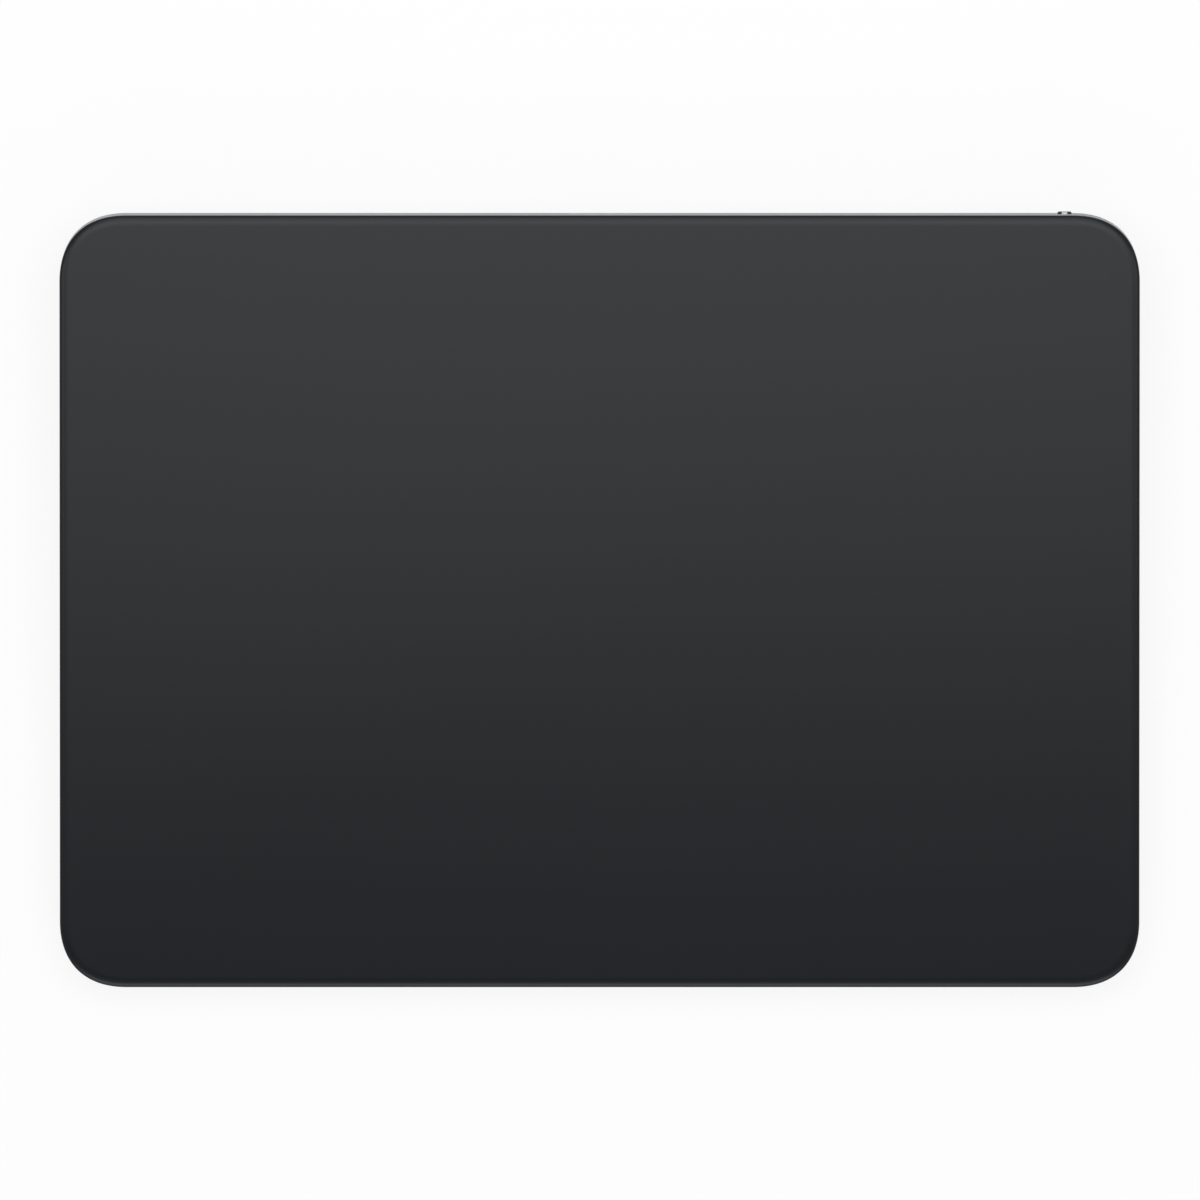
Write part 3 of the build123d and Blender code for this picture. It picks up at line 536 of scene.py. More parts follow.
# Finishes by slot, and two that pieces ask for by name: name, colour, roughness, its swing, grain
# per metre, swing of shade, stretch
finishes = {
    "glass": finish_of(
        "satin_black_glass",
        (0.0020, 0.0033, 0.0062),
        0.32,
        0.012,
        7000.0,
        0.05,
        drift=14.0,
        bump=0.0004,
        IOR=1.5,
    ),
    "aluminium": metal_of(
        "blasted_aluminium",
        (0.66, 0.665, 0.675),
        0.42,
        0.05,
        11000.0,
        0.05,
        bump=0.004,
        Specular_Tint=(0.35, 0.355, 0.365, 1.0),
    ),
    "cover": finish_of("light_grey_cover", (0.72, 0.73, 0.735), 0.55, 0.05, 12000.0, 0.03),
    "rubber": finish_of("light_grey_rubber", (0.62, 0.63, 0.635), 0.78, 0.08, 5000.0, 0.06),
    "circuit_board": with_pattern(
        finish_of("green_board", (0.018, 0.055, 0.04), 0.38, 0.05, 6000.0, bump=0.002),
        board_tree,
        (("Tracks", (0.03, 0.09, 0.06), 0.7), ("Holes", (0.75, 0.58, 0.28), 0.9)),
    ),
    "spring_steel": metal_of(
        "rolled_spring_steel", (0.6, 0.6, 0.6), 0.3, 0.1, 1600.0, 0.08, (6.0, 0.6, 1.0), bump=0.003
    ),
    "stiffener": metal_of(
        "milled_sheet", (0.66, 0.67, 0.68), 0.36, 0.1, 1300.0, 0.06, (0.5, 5.0, 1.0), bump=0.003
    ),
    "screw_steel": metal_of("bright_zinc", (0.55, 0.55, 0.56), 0.3, 0.12, 3000.0, 0.1),
    "shield_steel": metal_of("tinned_steel", (0.62, 0.62, 0.61), 0.28, 0.14, 700.0, 0.1),
    "gold": metal_of("gold_plate", (0.83, 0.64, 0.3), 0.22, 0.08, 6000.0, 0.06, bump=0.001),
    "copper": metal_of("enamelled_copper", (0.72, 0.33, 0.15), 0.26, 0.08, 5000.0, 0.1, Coat_Weight=0.6),
    "core_steel": metal_of(
        "laminated_steel", (0.4, 0.4, 0.42), 0.42, 0.1, 1500.0, 0.25, (0.15, 0.15, 6.0), bump=0.01
    ),
    "silicone": finish_of("clear_gel", (0.8, 0.8, 0.78), 0.3, 0.06, 2500.0, 0.04),
    "chip": finish_of("moulded_chip", (0.02, 0.02, 0.022), 0.5, 0.06, 14000.0, 0.15),
    "ceramic": finish_of("fired_ceramic", (0.32, 0.2, 0.12), 0.5, 0.06, 12000.0, 0.2),
    "socket_plastic": finish_of("ivory_plastic", (0.75, 0.7, 0.58), 0.45, 0.05, 8000.0),
    "black_plastic": finish_of("black_plastic", (0.025, 0.025, 0.027), 0.42, 0.05, 9000.0, 0.1),
    # Painted shade: a near-black finish for the inserts beside the switch's crest, standing in for shade
    "painted_shade_grip": finish_of("painted_shade_grip", (0.035, 0.036, 0.038), 0.6, 0.05, 9000.0, 0.1),
    "flex": with_pattern(
        finish_of("amber_flex", (0.42, 0.18, 0.025), 0.32, 0.06, 4000.0, bump=0.002),
        track_tree,
        (("Mask", (0.30, 0.10, 0.015), 0.8),),
    ),
    "pouch": finish_of(
        "wrapped_pouch", (0.12, 0.12, 0.13), 0.4, 0.1, 500.0, 0.15, (1.0, 2.2, 1.0), metallic=0.3, bump=0.05
    ),
    "adhesive": finish_of("white_tape", (0.85, 0.85, 0.83), 0.7, 0.06, 3000.0, 0.05),
    "coax": finish_of("black_jacket", (0.03, 0.03, 0.03), 0.4, 0.06, 5000.0, 0.1, (1.0, 3.0, 1.0)),
    "switch_white": finish_of("white_plastic", (0.8, 0.8, 0.8), 0.4, 0.05, 8000.0),
}


def dress(node):
    # A carried-over node takes the finish of its own slot
    for held in node.material_slots:
        held.material = finishes[held.material.name]


# Making pieces
def quarter_arc(steps):
    # Points of a quarter round, in its radius: how far in from its side, and up from its foot
    angles = [step * pi / 2 / steps for step in range(steps + 1)]
    return [(1 - sin(angle), 1 - cos(angle)) for angle in angles]


def object_of(name, data):
    made = bpy.data.objects.new(name, data)
    bpy.context.scene.collection.objects.link(made)
    return made


def creased(mesh, crease=30):
    mesh.shade_smooth()
    mesh.set_sharp_from_angle(angle=radians(crease))
    return mesh


def evaluated(bench):
    # The plain mesh that an object's modifiers make
    graph = bpy.context.evaluated_depsgraph_get()
    return bpy.data.meshes.new_from_object(bench.evaluated_get(graph), depsgraph=graph)


def piece_of(name, mesh, body, slot, *stood_for, finish=None, matrix=None):
    # A mesh that no tree has coated takes the named finish, or else its slot's
    if matrix is not None:
        mesh.transform(matrix)
    mesh.name = name
    if not mesh.materials:
        mesh.materials.append(finishes[finish or slot])
    made = object_of(name, mesh)
    if body is not None:
        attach(made, body)
    if stood_for:
        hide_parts(*stood_for)
    return made


def grown(tree, seed_data, slot, sizes=None, crease=35):
    # Runs a geometry tree on a curve or a mesh and returns the plain mesh it makes
    bench = object_of("bench", seed_data)
    modifier = bench.modifiers.new("grow", "NODES")
    modifier.node_group = tree
    sockets = {item.name: item.identifier for item in tree.interface.items_tree if item.in_out == "INPUT"}
    for label, value in {**(sizes or {}), "Finish": finishes[slot]}.items():
        modifier[sockets[label]] = value
    made = evaluated(bench)
    bench.modifiers.remove(modifier)
    bpy.data.objects.remove(bench)
    coats = [coat for coat in made.materials if coat is not None]
    empty = len(made.materials) - len(coats)
    shaping = bmesh.new()
    shaping.from_mesh(made)
    bmesh.ops.remove_doubles(shaping, verts=shaping.verts, dist=weld / 2)
    bmesh.ops.recalc_face_normals(shaping, faces=shaping.faces)
    for face in shaping.faces:
        face.material_index = max(face.material_index - empty, 0)
    shaping.to_mesh(made)
    shaping.free()
    made.materials.clear()
    for coat in coats:
        made.materials.append(coat)
    return creased(made, crease)


def grown_piece(name, tree, seed_data, body, slot, *stood_for, matrix=None, sizes=None, crease=35):
    mesh = grown(tree, seed_data, slot, sizes, crease)
    piece_of(name, mesh, body, slot, *stood_for, matrix=matrix)


def point_mesh(places, turns=()):
    mesh = bpy.data.meshes.new("places")
    mesh.from_pydata([tuple(place) for place in places], [], [])
    if turns:
        mesh.attributes.new("turn", "FLOAT", "POINT").data.foreach_set("value", turns)
    return mesh


# Geometry helpers
moved = maker("GeometryNodeTransform", "Geometry", "Translation", "Rotation")
shifted = maker("GeometryNodeSetPosition", "Geometry", "Offset")
set_at = maker("GeometryNodeSetPosition", "Geometry", "Position")
set_out = maker("GeometryNodeInstanceOnPoints", "Points", "Instance", "Rotation")
realized = maker("GeometryNodeRealizeInstances", 0)
welded = maker("GeometryNodeMergeByDistance", "Geometry", "Distance")
smoothed = maker("GeometryNodeSetShadeSmooth", "Geometry")
coated = maker("GeometryNodeSetMaterial", "Geometry", "Material")
mesh_line = maker("GeometryNodeMeshLine", "Count", "Start Location", "Offset", mode="OFFSET")
rectangle = maker("GeometryNodeCurvePrimitiveQuadrilateral", "Width", "Height")
upright = maker("GeometryNodeSetCurveNormal", "Curve", mode="Z_UP")
filled = maker("GeometryNodeFillCurve", 0, mode="NGONS")
draped = maker("GeometryNodeCurveToMesh", "Curve", "Profile Curve")
swept = maker("GeometryNodeCurveToMesh", "Curve", "Profile Curve", fixed={"Fill Caps": True})


def shape_tree(name, seed, result, sizes):
    # A geometry tree that takes a seed, sizes and a finish
    inputs = {seed: "NodeSocketGeometry", **sizes, "Finish": "NodeSocketMaterial"}
    return new_tree("GeometryNodeTree", name, inputs, "NodeSocketGeometry", result)


def vector(tree, x=0.0, y=0.0, z=0.0):
    return given_by(tree, "ShaderNodeCombineXYZ", {0: x, 1: y, 2: z})


def joined(tree, *shapes):
    made = add(tree, "GeometryNodeJoinGeometry")
    for shape in reversed(shapes):
        feed(made, {0: shape})
    return Wire(made.outputs[0])


def line(tree, start, end):
    inputs = {"Start": vector(tree, *start), "End": vector(tree, *end)}
    return given_by(tree, "GeometryNodeCurvePrimitiveLine", inputs)


def bent(tree, steps, *points):
    # A curve between two points, drawn by the two handles between them
    labels = ("Start", "Start Handle", "End Handle", "End")
    inputs = {label: vector(tree, *point) for label, point in zip(labels, points)}
    inputs["Resolution"] = steps
    return given_by(tree, "GeometryNodeCurvePrimitiveBezierSegment", inputs, mode="POSITION")


def rounded(tree, curve, radius, count, limited=False):
    inputs = {"Curve": curve, "Radius": radius, "Count": count, "Limit Radius": limited}
    return given_by(tree, "GeometryNodeFilletCurve", inputs, mode="POLY")


def turned(tree, profile, sides, thread=None):
    # A piece turned on a lathe: a grid rolled round the upright axis, one row for each
    # (radius, height) of the profile
    rows = len(profile)
    grid = given_by(tree, "GeometryNodeMeshGrid", {"Vertices X": sides + 1, "Vertices Y": rows})
    index = given_by(tree, "GeometryNodeInputIndex")
    row = index % rows
    step = maths(tree, "FLOOR", index / rows)
    angle = step * (2 * pi / sides)
    picked = []
    for column in (0, 1):
        switch = add(tree, "GeometryNodeIndexSwitch", data_type="FLOAT")
        while len(switch.index_switch_items) < rows:
            switch.index_switch_items.new()
        feed(switch, enumerate((row, *(point[column] for point in profile))))
        picked.append(Wire(switch.outputs[0]))
    radius, height = picked
    if thread is not None:
        pitch, depth = thread
        along = height / pitch + step * (1.0 / sides)
        valley = maths(tree, "PINGPONG", maths(tree, "FRACT", along), 0.5)
        radius = maths(tree, "MAXIMUM", radius - valley * 2.0 * depth, 0.0)
    x, y = radius * maths(tree, "COSINE", angle), radius * maths(tree, "SINE", angle)
    return welded(tree, set_at(tree, grid, vector(tree, x, y, height)), weld)


def finished(tree, shape, finish, ends):
    # The tree's result: the shape made real and coated
    lead_out(ends, coated(tree, realized(tree, shape), finish))
    return tree


def placed(tree, shape, places, finish, ends):
    # The tree's result: one shape at every given point, turned as the point says
    points = given_by(tree, "GeometryNodeMeshToPoints", {"Mesh": places})
    turn = given_by(tree, "GeometryNodeInputNamedAttribute", {"Name": "turn"}, data_type="FLOAT")
    return finished(tree, set_out(tree, points, shape, vector(tree, z=turn)), finish, ends)


# Touch glass
def soft_outline():
    # The glass's outline as one closed curve whose corners turn gently
    curve = bpy.data.curves.new("glass_outline", "CURVE")
    curve.dimensions = "3D"
    curve.twist_mode = "Z_UP"
    curve.resolution_u = 28
    spline = curve.splines.new("BEZIER")
    spline.bezier_points.add(7)
    spline.use_cyclic_u = True
    half_x, half_y = width / 2, slope_depth / 2
    near = corner_reach * (1 - corner_handle_share)
    places = []
    for side_x, side_y in quarters:
        turn = [
            (side_x * half_x, side_y * (half_y - corner_reach), 0),
            (side_x * half_x, side_y * (half_y - near), 0),
            (side_x * (half_x - near), side_y * half_y, 0),
            (side_x * (half_x - corner_reach), side_y * half_y, 0),
        ]
        if side_x * side_y < 0:
            turn.reverse()
        places.append([Vector(place) for place in turn])
    for number, turn in enumerate(places):
        start, end = spline.bezier_points[2 * number], spline.bezier_points[2 * number + 1]
        before, after = places[number - 1][3], places[(number + 1) % 4][0]
        for point in (start, end):
            point.handle_left_type = point.handle_right_type = "FREE"
        start.co, start.handle_right = turn[0], turn[1]
        start.handle_left = turn[0].lerp(before, 1 / 3)
        end.co, end.handle_left = turn[3], turn[2]
        end.handle_right = turn[3].lerp(after, 1 / 3)
    return curve


def glass_tree():
    # A slab under an outline, with a long quadrant swept along its top edge
    tree, given, ends = shape_tree("soft_edged_slab", "Outline", "Slab", glass_sizes)
    outline, thick, run, drop, arris, finish = given
    # The profiles' second axis points down into the glass
    handle_x, handle_y = -(run * round_handle_share), drop * round_handle_share
    quadrant = bent(tree, 20, (0.0, drop), (0.0, handle_y), (handle_x, 0.0), (-run, 0.0))
    side_low = thick - arris
    side = line(tree, (0.0, side_low), (0.0, drop))
    bevel = line(tree, (-arris, thick), (0.0, side_low))
    tangent = given_by(tree, "GeometryNodeInputTangent")
    up = (0.0, 0.0, 1.0)
    outward = given_by(tree, "ShaderNodeVectorMath", {0: tangent, 1: up}, operation="CROSS_PRODUCT")
    points = given_by(tree, "GeometryNodeResampleCurve", {"Curve": outline}, mode="EVALUATED")
    shells = []
    for inset, level in ((arris, -thick), (run, 0.0)):
        ring = shifted(tree, points, scaled(tree, outward, -inset))
        shells.append(moved(tree, filled(tree, ring), vector(tree, z=level)))
    shells += [draped(tree, outline, profile) for profile in (bevel, side, quadrant)]
    return finished(tree, smoothed(tree, welded(tree, joined(tree, *shells), 2 * weld)), finish, ends)


def touch_glass():
    matrix = Matrix.Translation((0, 0, -glass_settle)) @ slope
    seed = soft_outline()
    grown_piece("touch_glass", glass_tree(), seed, "touch_plate", "glass", "glass_plate", matrix=matrix)


# Feet
def foot_tree():
    # A turned rubber foot with a rounded rim and a fine ring in its sole
    tree, given, ends = shape_tree("turned_feet", "Places", "Feet", foot_sizes)
    places, radius, height, fillet, ring, across, depth, finish = given
    profile = [(0.0, height), (radius, height)]
    profile += [(radius - fillet * inner, fillet * up) for inner, up in reversed(quarter_arc(4))]
    inner = foot_ring_floor_share
    for share, level in ((0.5, 0.0), (inner, depth), (-inner, depth), (-0.5, 0.0)):
        profile.append((ring + across * share, level))
    profile.append((0.0, 0.0))
    return placed(tree, turned(tree, profile, sides=72), places, finish, ends)


def rubber_feet():
    names = [name for name in nodes if name.startswith("foot_")]
    middles = [(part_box(name)[0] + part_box(name)[1]) / 2 for name in names]
    seed = point_mesh([(middle.x, middle.y, 0.0) for middle in middles])
    grown_piece("rubber_feet", foot_tree(), seed, "base", "rubber", *names)


# Screws
def screw_tree():
    # Low-headed screws with a six-sided recess and a rolled thread, heads on their places
    tree, given, ends = shape_tree("low_head_screws", "Places", "Screws", screw_sizes)
    places, head_r, head_h, edge, recess_r, deep, shank_r, length, pitch, thread_cut, finish = given
    soft_in, soft_down = head_soft_shares
    soft_spot = (head_r - edge * soft_in, head_h - edge * soft_down)
    profile = [(0.0, 0.0), (head_r, 0.0), (head_r, head_h - edge), soft_spot, (head_r - edge, head_h)]
    head = turned(tree, [*profile, (0.0, head_h)], sides=32)
    cone = {
        "Vertices": 6,
        "Radius Top": recess_r * (1 + recess_taper),
        "Radius Bottom": recess_r * (1 - recess_taper),
        "Depth": deep * 2.0,
    }
    recess = moved(tree, given_by(tree, "GeometryNodeMeshCone", cone), vector(tree, z=head_h - deep))
    cut = given_by(tree, "GeometryNodeMeshBoolean", {0: head, 1: recess}, operation="DIFFERENCE")
    core = [(shank_r, length * (-number / (thread_rows - 1))) for number in range(thread_rows)]
    shank = turned(tree, [(0.0, 0.0), *core, (0.0, -length)], sides=18, thread=(pitch, thread_cut))
    return placed(tree, joined(tree, cut, smoothed(tree, shank)), places, finish, ends)


def all_screws():
    tree = screw_tree()
    leaf = [
        (side_u * flexure_u + side * flexure_screw_pitch / 2, side_v * flexure_v, flexure_w)
        for side_u in both_ways
        for side_v in both_ways
        for side in both_ways
    ]
    core = [(side * core_u, core_v, core_w) for side in both_ways]
    port = [(side * port_screw_u, port_screw_v, port_screw_w) for side in both_ways]
    board = [
        (board_x + x * board_screw_x, board_y + y * board_screw_y, board_top)
        for x in both_ways
        for y in both_ways
    ]
    for name, places, grip, matrix in (
        ("flexure_screws", leaf, leaf_thickness, slope),
        ("haptic_screws", core, core_height, slope),
        ("port_screws", port, port_grip, slope),
        ("switch_screw", [switch_screw_place], switch_grip, slope),
        ("board_screws", board, board_grip, None),
    ):
        seed, sizes = point_mesh(places), {"Shank Length": grip + thread_run}
        grown_piece(name + "_set", tree, seed, "base", "screw_steel", name, matrix=matrix, sizes=sizes)


# Haptic coils
def winding_tree():
    # Enamelled wire wound in layers round a rounded bar, up the upright axis
    tree, given, ends = shape_tree("wound_coil", "Bench", "Coil", coil_sizes)
    across, height, length, turns, thick, finish = given[1:]
    section = given_by(tree, "GeometryNodeCurvePrimitiveCircle", {"Resolution": 8, "Radius": thick})
    factor = given_by(tree, "GeometryNodeSplineParameter", output="Factor")
    layers = []
    for layer in range(wire_layers):
        spread = thick * (layer_spread * layer)
        loop = rectangle(tree, across + spread, height + spread)
        corner = thick * (inner_turn_corner + layer_corner_step * layer)
        loop = rounded(tree, loop, corner, count=3)
        path = line(tree, (0.0, 0.0, thick), (0.0, 0.0, length - thick))
        path = given_by(tree, "GeometryNodeResampleCurve", {"Curve": path, "Count": turns * steps_per_turn})
        ring = {"Curves": loop, "Factor": maths(tree, "FRACT", factor * turns)}
        ring = given_by(tree, "GeometryNodeSampleCurve", ring, output="Position", mode="FACTOR")
        level = axes(tree, given_by(tree, "GeometryNodeInputPosition"))[2]
        helix = set_at(tree, path, vector(tree, *axes(tree, ring)[:2], level))
        layers.append(swept(tree, helix, section))
    return finished(tree, smoothed(tree, joined(tree, *layers)), finish, ends)


def haptic_coils():
    tree = winding_tree()
    lie_down = Matrix.Rotation(pi / 2, 4, "X")
    for number in range(coil_count):
        slide = (number - (coil_count - 1) / 2) * coil_pitch
        place = Matrix.Translation((slide, coil_front + coil_length, -coil_drop))
        matrix, seed = slope @ place @ lie_down, point_mesh([(0, 0, 0)])
        name = f"haptic_coil_{number + 1}"
        grown_piece(name + "_winding", tree, seed, "base", "copper", name, matrix=matrix, crease=60)


# Charging contacts
def contact_tree():
    # Two rows of round-ended contacts, on the two faces of the tongue
    tree, given, ends = shape_tree("contact_rows", "Bench", "Contacts", contact_sizes)
    count, pitch, across, length, height, apart, finish = given[1:]
    outline = rectangle(tree, across, length)
    face = filled(tree, rounded(tree, outline, across * contact_round_share, count=3))
    lift = {"Mesh": face, "Offset Scale": height, "Individual": False}
    lifted = given_by(tree, "GeometryNodeExtrudeMesh", lift, mode="FACES")
    contact = welded(tree, joined(tree, face, lifted), weld / 2)
    contact = moved(tree, contact, vector(tree, y=length * -0.5))
    start = vector(tree, (count - 1.0) * pitch * -0.5, 0.0, apart * 0.5)
    row = mesh_line(tree, count, start, vector(tree, pitch))
    upper = realized(tree, set_out(tree, row, contact))
    lower = moved(tree, upper, (0.0, 0.0, 0.0), (0.0, pi, 0.0))
    return finished(tree, joined(tree, upper, lower), finish, ends)


def charging_contacts():
    matrix = slope @ Matrix.Translation((0, contact_rear, socket_w))
    seed = point_mesh([(0, 0, 0)])
    grown_piece("charging_contacts", contact_tree(), seed, "base", "gold", "port_contacts", matrix=matrix)


# Shaping in mesh code
def node_shape(name):
    # A node's faces as a working shape, with shared corners
    shape = bmesh.new()
    shape.from_mesh(nodes[name].data)
    bmesh.ops.remove_doubles(shape, verts=shape.verts, dist=weld)
    return shape


def loose_boxes(name, matrix=None):
    # Lowest and highest corner of each solid of a node, in the frame that the matrix sets
    back = (matrix or Matrix()).inverted()
    shape = node_shape(name)
    boxes = []
    for start in shape.verts:
        if start.tag:
            continue
        start.tag = True
        queue, found = [start], []
        while queue:
            vert = queue.pop()
            found.append(back @ vert.co)
            for edge in vert.link_edges:
                other = edge.other_vert(vert)
                if not other.tag:
                    other.tag = True
                    queue.append(other)
        low = Vector([min(place[axis] for place in found) for axis in range(3)])
        high = Vector([max(place[axis] for place in found) for axis in range(3)])
        boxes.append((low, high))
    shape.free()
    return boxes


def middle_and_half(low, high):
    return (low + high) / 2, (high - low) / 2


def lofted(shape, middle, sections, steps=4):
    # A closed body through level rounded rectangles: half across, half along, corner, height
    rings = []
    for half_x, half_y, corner, height in sections:
        ring = []
        for number, (side_x, side_y) in enumerate(quarters):
            for step in range(steps + 1):
                angle = pi / 2 * (number + step / steps)
                x = side_x * (half_x - corner) + corner * cos(angle)
                y = side_y * (half_y - corner) + corner * sin(angle)
                ring.append(shape.verts.new((middle[0] + x, middle[1] + y, height)))
        rings.append(ring)
    for low, high in zip(rings, rings[1:]):
        for number, vert in enumerate(low):
            follow = (number + 1) % len(low)
            shape.faces.new((vert, low[follow], high[follow], high[number]))
    shape.faces.new(rings[0][::-1])
    shape.faces.new(rings[-1])


def drawn_in(shape, middle, half, rows, steps=4):
    # A closed body through one level rounded rectangle: how far it is drawn in, corner, height
    lofted(shape, middle, [(half[0] - inset, half[1] - inset, *rest) for inset, *rest in rows], steps)


def settled(shape, matrix=None):
    # A working shape made into a mesh, with its soft turns smooth and its edges crisp
    bmesh.ops.recalc_face_normals(shape, faces=shape.faces)
    mesh = bpy.data.meshes.new("made")
    shape.to_mesh(mesh)
    shape.free()
    stale = mesh.attributes.get("custom_normal")
    if stale is not None:
        mesh.attributes.remove(stale)
    creased(mesh)
    if matrix is not None:
        mesh.transform(matrix)
    return mesh


def carved(mesh, tool, operation="DIFFERENCE"):
    # What is left of one closed mesh outside another, or inside it, or both as one
    bench, blade = object_of("bench", mesh), object_of("blade", tool)
    cut = bench.modifiers.new("carve", "BOOLEAN")
    cut.object, cut.operation, cut.solver = blade, operation, "EXACT"
    made = evaluated(bench)
    for each in (bench, blade):
        bpy.data.objects.remove(each)
    made.materials.clear()
    return creased(made)


def together(*meshes):
    shape = bmesh.new()
    for mesh in meshes:
        shape.from_mesh(mesh)
    return settled(shape)


# Bent leads and contacts
def lead_tree():
    # A strip bent in an S from a body's side down to its solder foot, at every point
    tree, given, ends = shape_tree("bent_leads", "Places", "Leads", lead_sizes)
    places, reach, high, across, thick, finish = given
    low, middle = thick * 0.5, reach * lead_bend_share
    bend = bent(tree, 6, (0.0, 0.0, high), (middle, 0.0, high), (middle, 0.0, low), (reach, 0.0, low))
    lead = swept(tree, upright(tree, bend), rectangle(tree, across, thick))
    return placed(tree, lead, places, finish, ends)


def rows_round(low, high, inset, pitch, sides):
    # Lead places along the chosen sides of a box, each with the way that it points
    middle, half = middle_and_half(low, high)
    spots = []
    for side in sides:
        along, out = (half.x, half.y) if side % 2 else (half.y, half.x)
        count = int((2 * along - 2 * inset - 2 * pitch) / pitch) + 1
        turn = side * pi / 2
        for number in range(count):
            x, y = out - inset, (number - (count - 1) / 2) * pitch
            place_x = middle.x + x * cos(turn) - y * sin(turn)
            place_y = middle.y + x * sin(turn) + y * cos(turn)
            spots.append(((place_x, place_y, low.z), turn))
    return spots


# Chips
def chip_bodies(boxes):
    # Moulded bodies with a parting line, drawn-in faces and a dimple at the first lead
    bodies, dimples = bmesh.new(), bmesh.new()
    for low, high in boxes:
        middle, half = middle_and_half(low, high)
        half -= Vector((chip_inset, chip_inset, 0))
        tall = high.z - low.z
        rows = [(chip_draft, chip_corner, low.z + chip_stand)]
        rows += [(0.0, chip_corner, low.z + share * tall) for share in chip_parting_shares]
        rows.append((chip_draft, chip_corner, high.z - chip_top_edge))
        rows.append((chip_top_drafts * chip_draft, chip_corner, high.z))
        drawn_in(bodies, middle, half, rows)
        size = min(half.x, half.y) * dimple_share
        spot = [middle[axis] - half[axis] + dimple_from_edge * size for axis in (0, 1)]
        floor_corner, rim_corner = [share * size for share in dimple_corners]
        rows = (
            (dimple_draft * size, floor_corner, high.z - dimple_depth),
            (0.0, rim_corner, high.z + dimple_over),
        )
        drawn_in(dimples, spot, (size, size), rows)
    return carved(settled(bodies), settled(dimples))


def chip_leads(name, body, boxes, tree, matrix=None):
    spots = []
    for low, high in boxes:
        size, sides = high - low, (0, 1, 2, 3)
        if min(size.x, size.y) <= four_sided_size and abs(size.x - size.y) >= 10 * weld:
            sides = (1, 3) if size.x > size.y else (0, 2)
        spots += rows_round(low, high, chip_inset, lead_pitch, sides)
    grown_piece(name, tree, point_mesh(*zip(*spots)), body, "shield_steel", matrix=matrix)


def all_chips(tree):
    # Returns the touch board's sockets, which are in one node with its chips
    boxes = loose_boxes("touch_chips", hanging)
    chips = [box for box in boxes if box[1].z - box[0].z > tallest_socket]
    for name, body, found, matrix in (
        ("board_chip", "base", loose_boxes("board_chips"), None),
        ("touch_chip", "touch_plate", chips, hanging),
    ):
        piece_of(name + "_bodies", chip_bodies(found), body, "chip", name + "s", matrix=matrix)
        chip_leads(name + "_leads", body, found, tree, matrix)
    return [box for box in boxes if box[1].z - box[0].z <= tallest_socket]


# Flexible circuits' sockets
def socket_bodies(boxes):
    # Low frames with an island between two slots
    frames, slots = bmesh.new(), bmesh.new()
    wide_corner, top_corner = socket_corners
    slot_corner, mouth_corner = slot_corners
    for low, high in boxes:
        middle, half = middle_and_half(low, high)
        x, y, rim = half.x, half.y - socket_inset, high.z - socket_edge
        rows = ((0.0, wide_corner, low.z), (0.0, wide_corner, rim), (socket_edge, top_corner, high.z))
        drawn_in(frames, middle, (x, y), rows)
        rows = (
            (0.0, slot_corner, low.z + slot_floor_share * (high.z - low.z)),
            (0.0, slot_corner, rim),
            (-socket_edge, mouth_corner, high.z + slot_over),
        )
        for side in both_ways:
            spot = (middle.x, middle.y + side * y * slot_middle_share)
            drawn_in(slots, spot, (x - slot_end, y * slot_half_share), rows)
    return carved(settled(frames), settled(slots))


def socket_leads(name, body, boxes, tree, matrix=None):
    # Feet outside the frame, and contacts down the outer wall of each slot
    spots = []
    for low, high in boxes:
        feet = rows_round(low, high, socket_inset, socket_pitch, (1, 3))
        spots += feet
        middle, half = middle_and_half(low, high)
        reach = (half.y - socket_inset) * slot_wall_share
        slot_floor = low.z + slot_floor_share * (high.z - low.z)
        for place, turn in feet:
            side = 1 if place[1] > middle.y else -1
            spots.append(((place[0], middle.y + side * reach, slot_floor), turn + pi))
    seed = point_mesh(*zip(*spots))
    grown_piece(name, tree, seed, body, "gold", matrix=matrix, sizes=contact_sizes_in_socket)


def all_sockets(tree, touch_boxes):
    level = [box for box in loose_boxes("board_sockets") if box[1].y < port_socket_from]
    leaning = [box for box in loose_boxes("board_sockets", slope) if box[1].y > port_socket_from]
    port_body = socket_bodies(leaning)
    port_body.transform(slope)
    mesh = together(socket_bodies(level), port_body)
    piece_of("board_socket_frames", mesh, "base", "socket_plastic", "board_sockets")
    socket_leads("board_socket_contacts", "base", level, tree)
    socket_leads("port_socket_contacts", "base", leaning, tree, slope)
    mesh = socket_bodies(touch_boxes)
    piece_of("touch_socket_frame", mesh, "touch_plate", "socket_plastic", matrix=hanging)
    socket_leads("touch_socket_contacts", "touch_plate", touch_boxes, tree, hanging)


# Resistors and capacitors
def small_part_tree():
    # A rounded bar at every point, or the two caps that wrap its ends
    tree, given, ends = shape_tree("soldered_bars", "Places", "Bars", bar_sizes)
    places, long, across, tall, start, end, copies, finish = given
    half = tall * 0.5
    bar = upright(tree, line(tree, (long * start, 0.0, half), (long * end, 0.0, half)))
    section = rounded(tree, rectangle(tree, across, tall), tall * part_round_share, count=1)
    shape = swept(tree, bar, section)
    # The second copy is turned half round, so that it caps the other end
    points = set_at(tree, mesh_line(tree, copies), vector(tree))
    turn = vector(tree, z=given_by(tree, "GeometryNodeInputIndex") * pi)
    pair = realized(tree, set_out(tree, points, shape, turn))
    return placed(tree, pair, places, finish, ends)


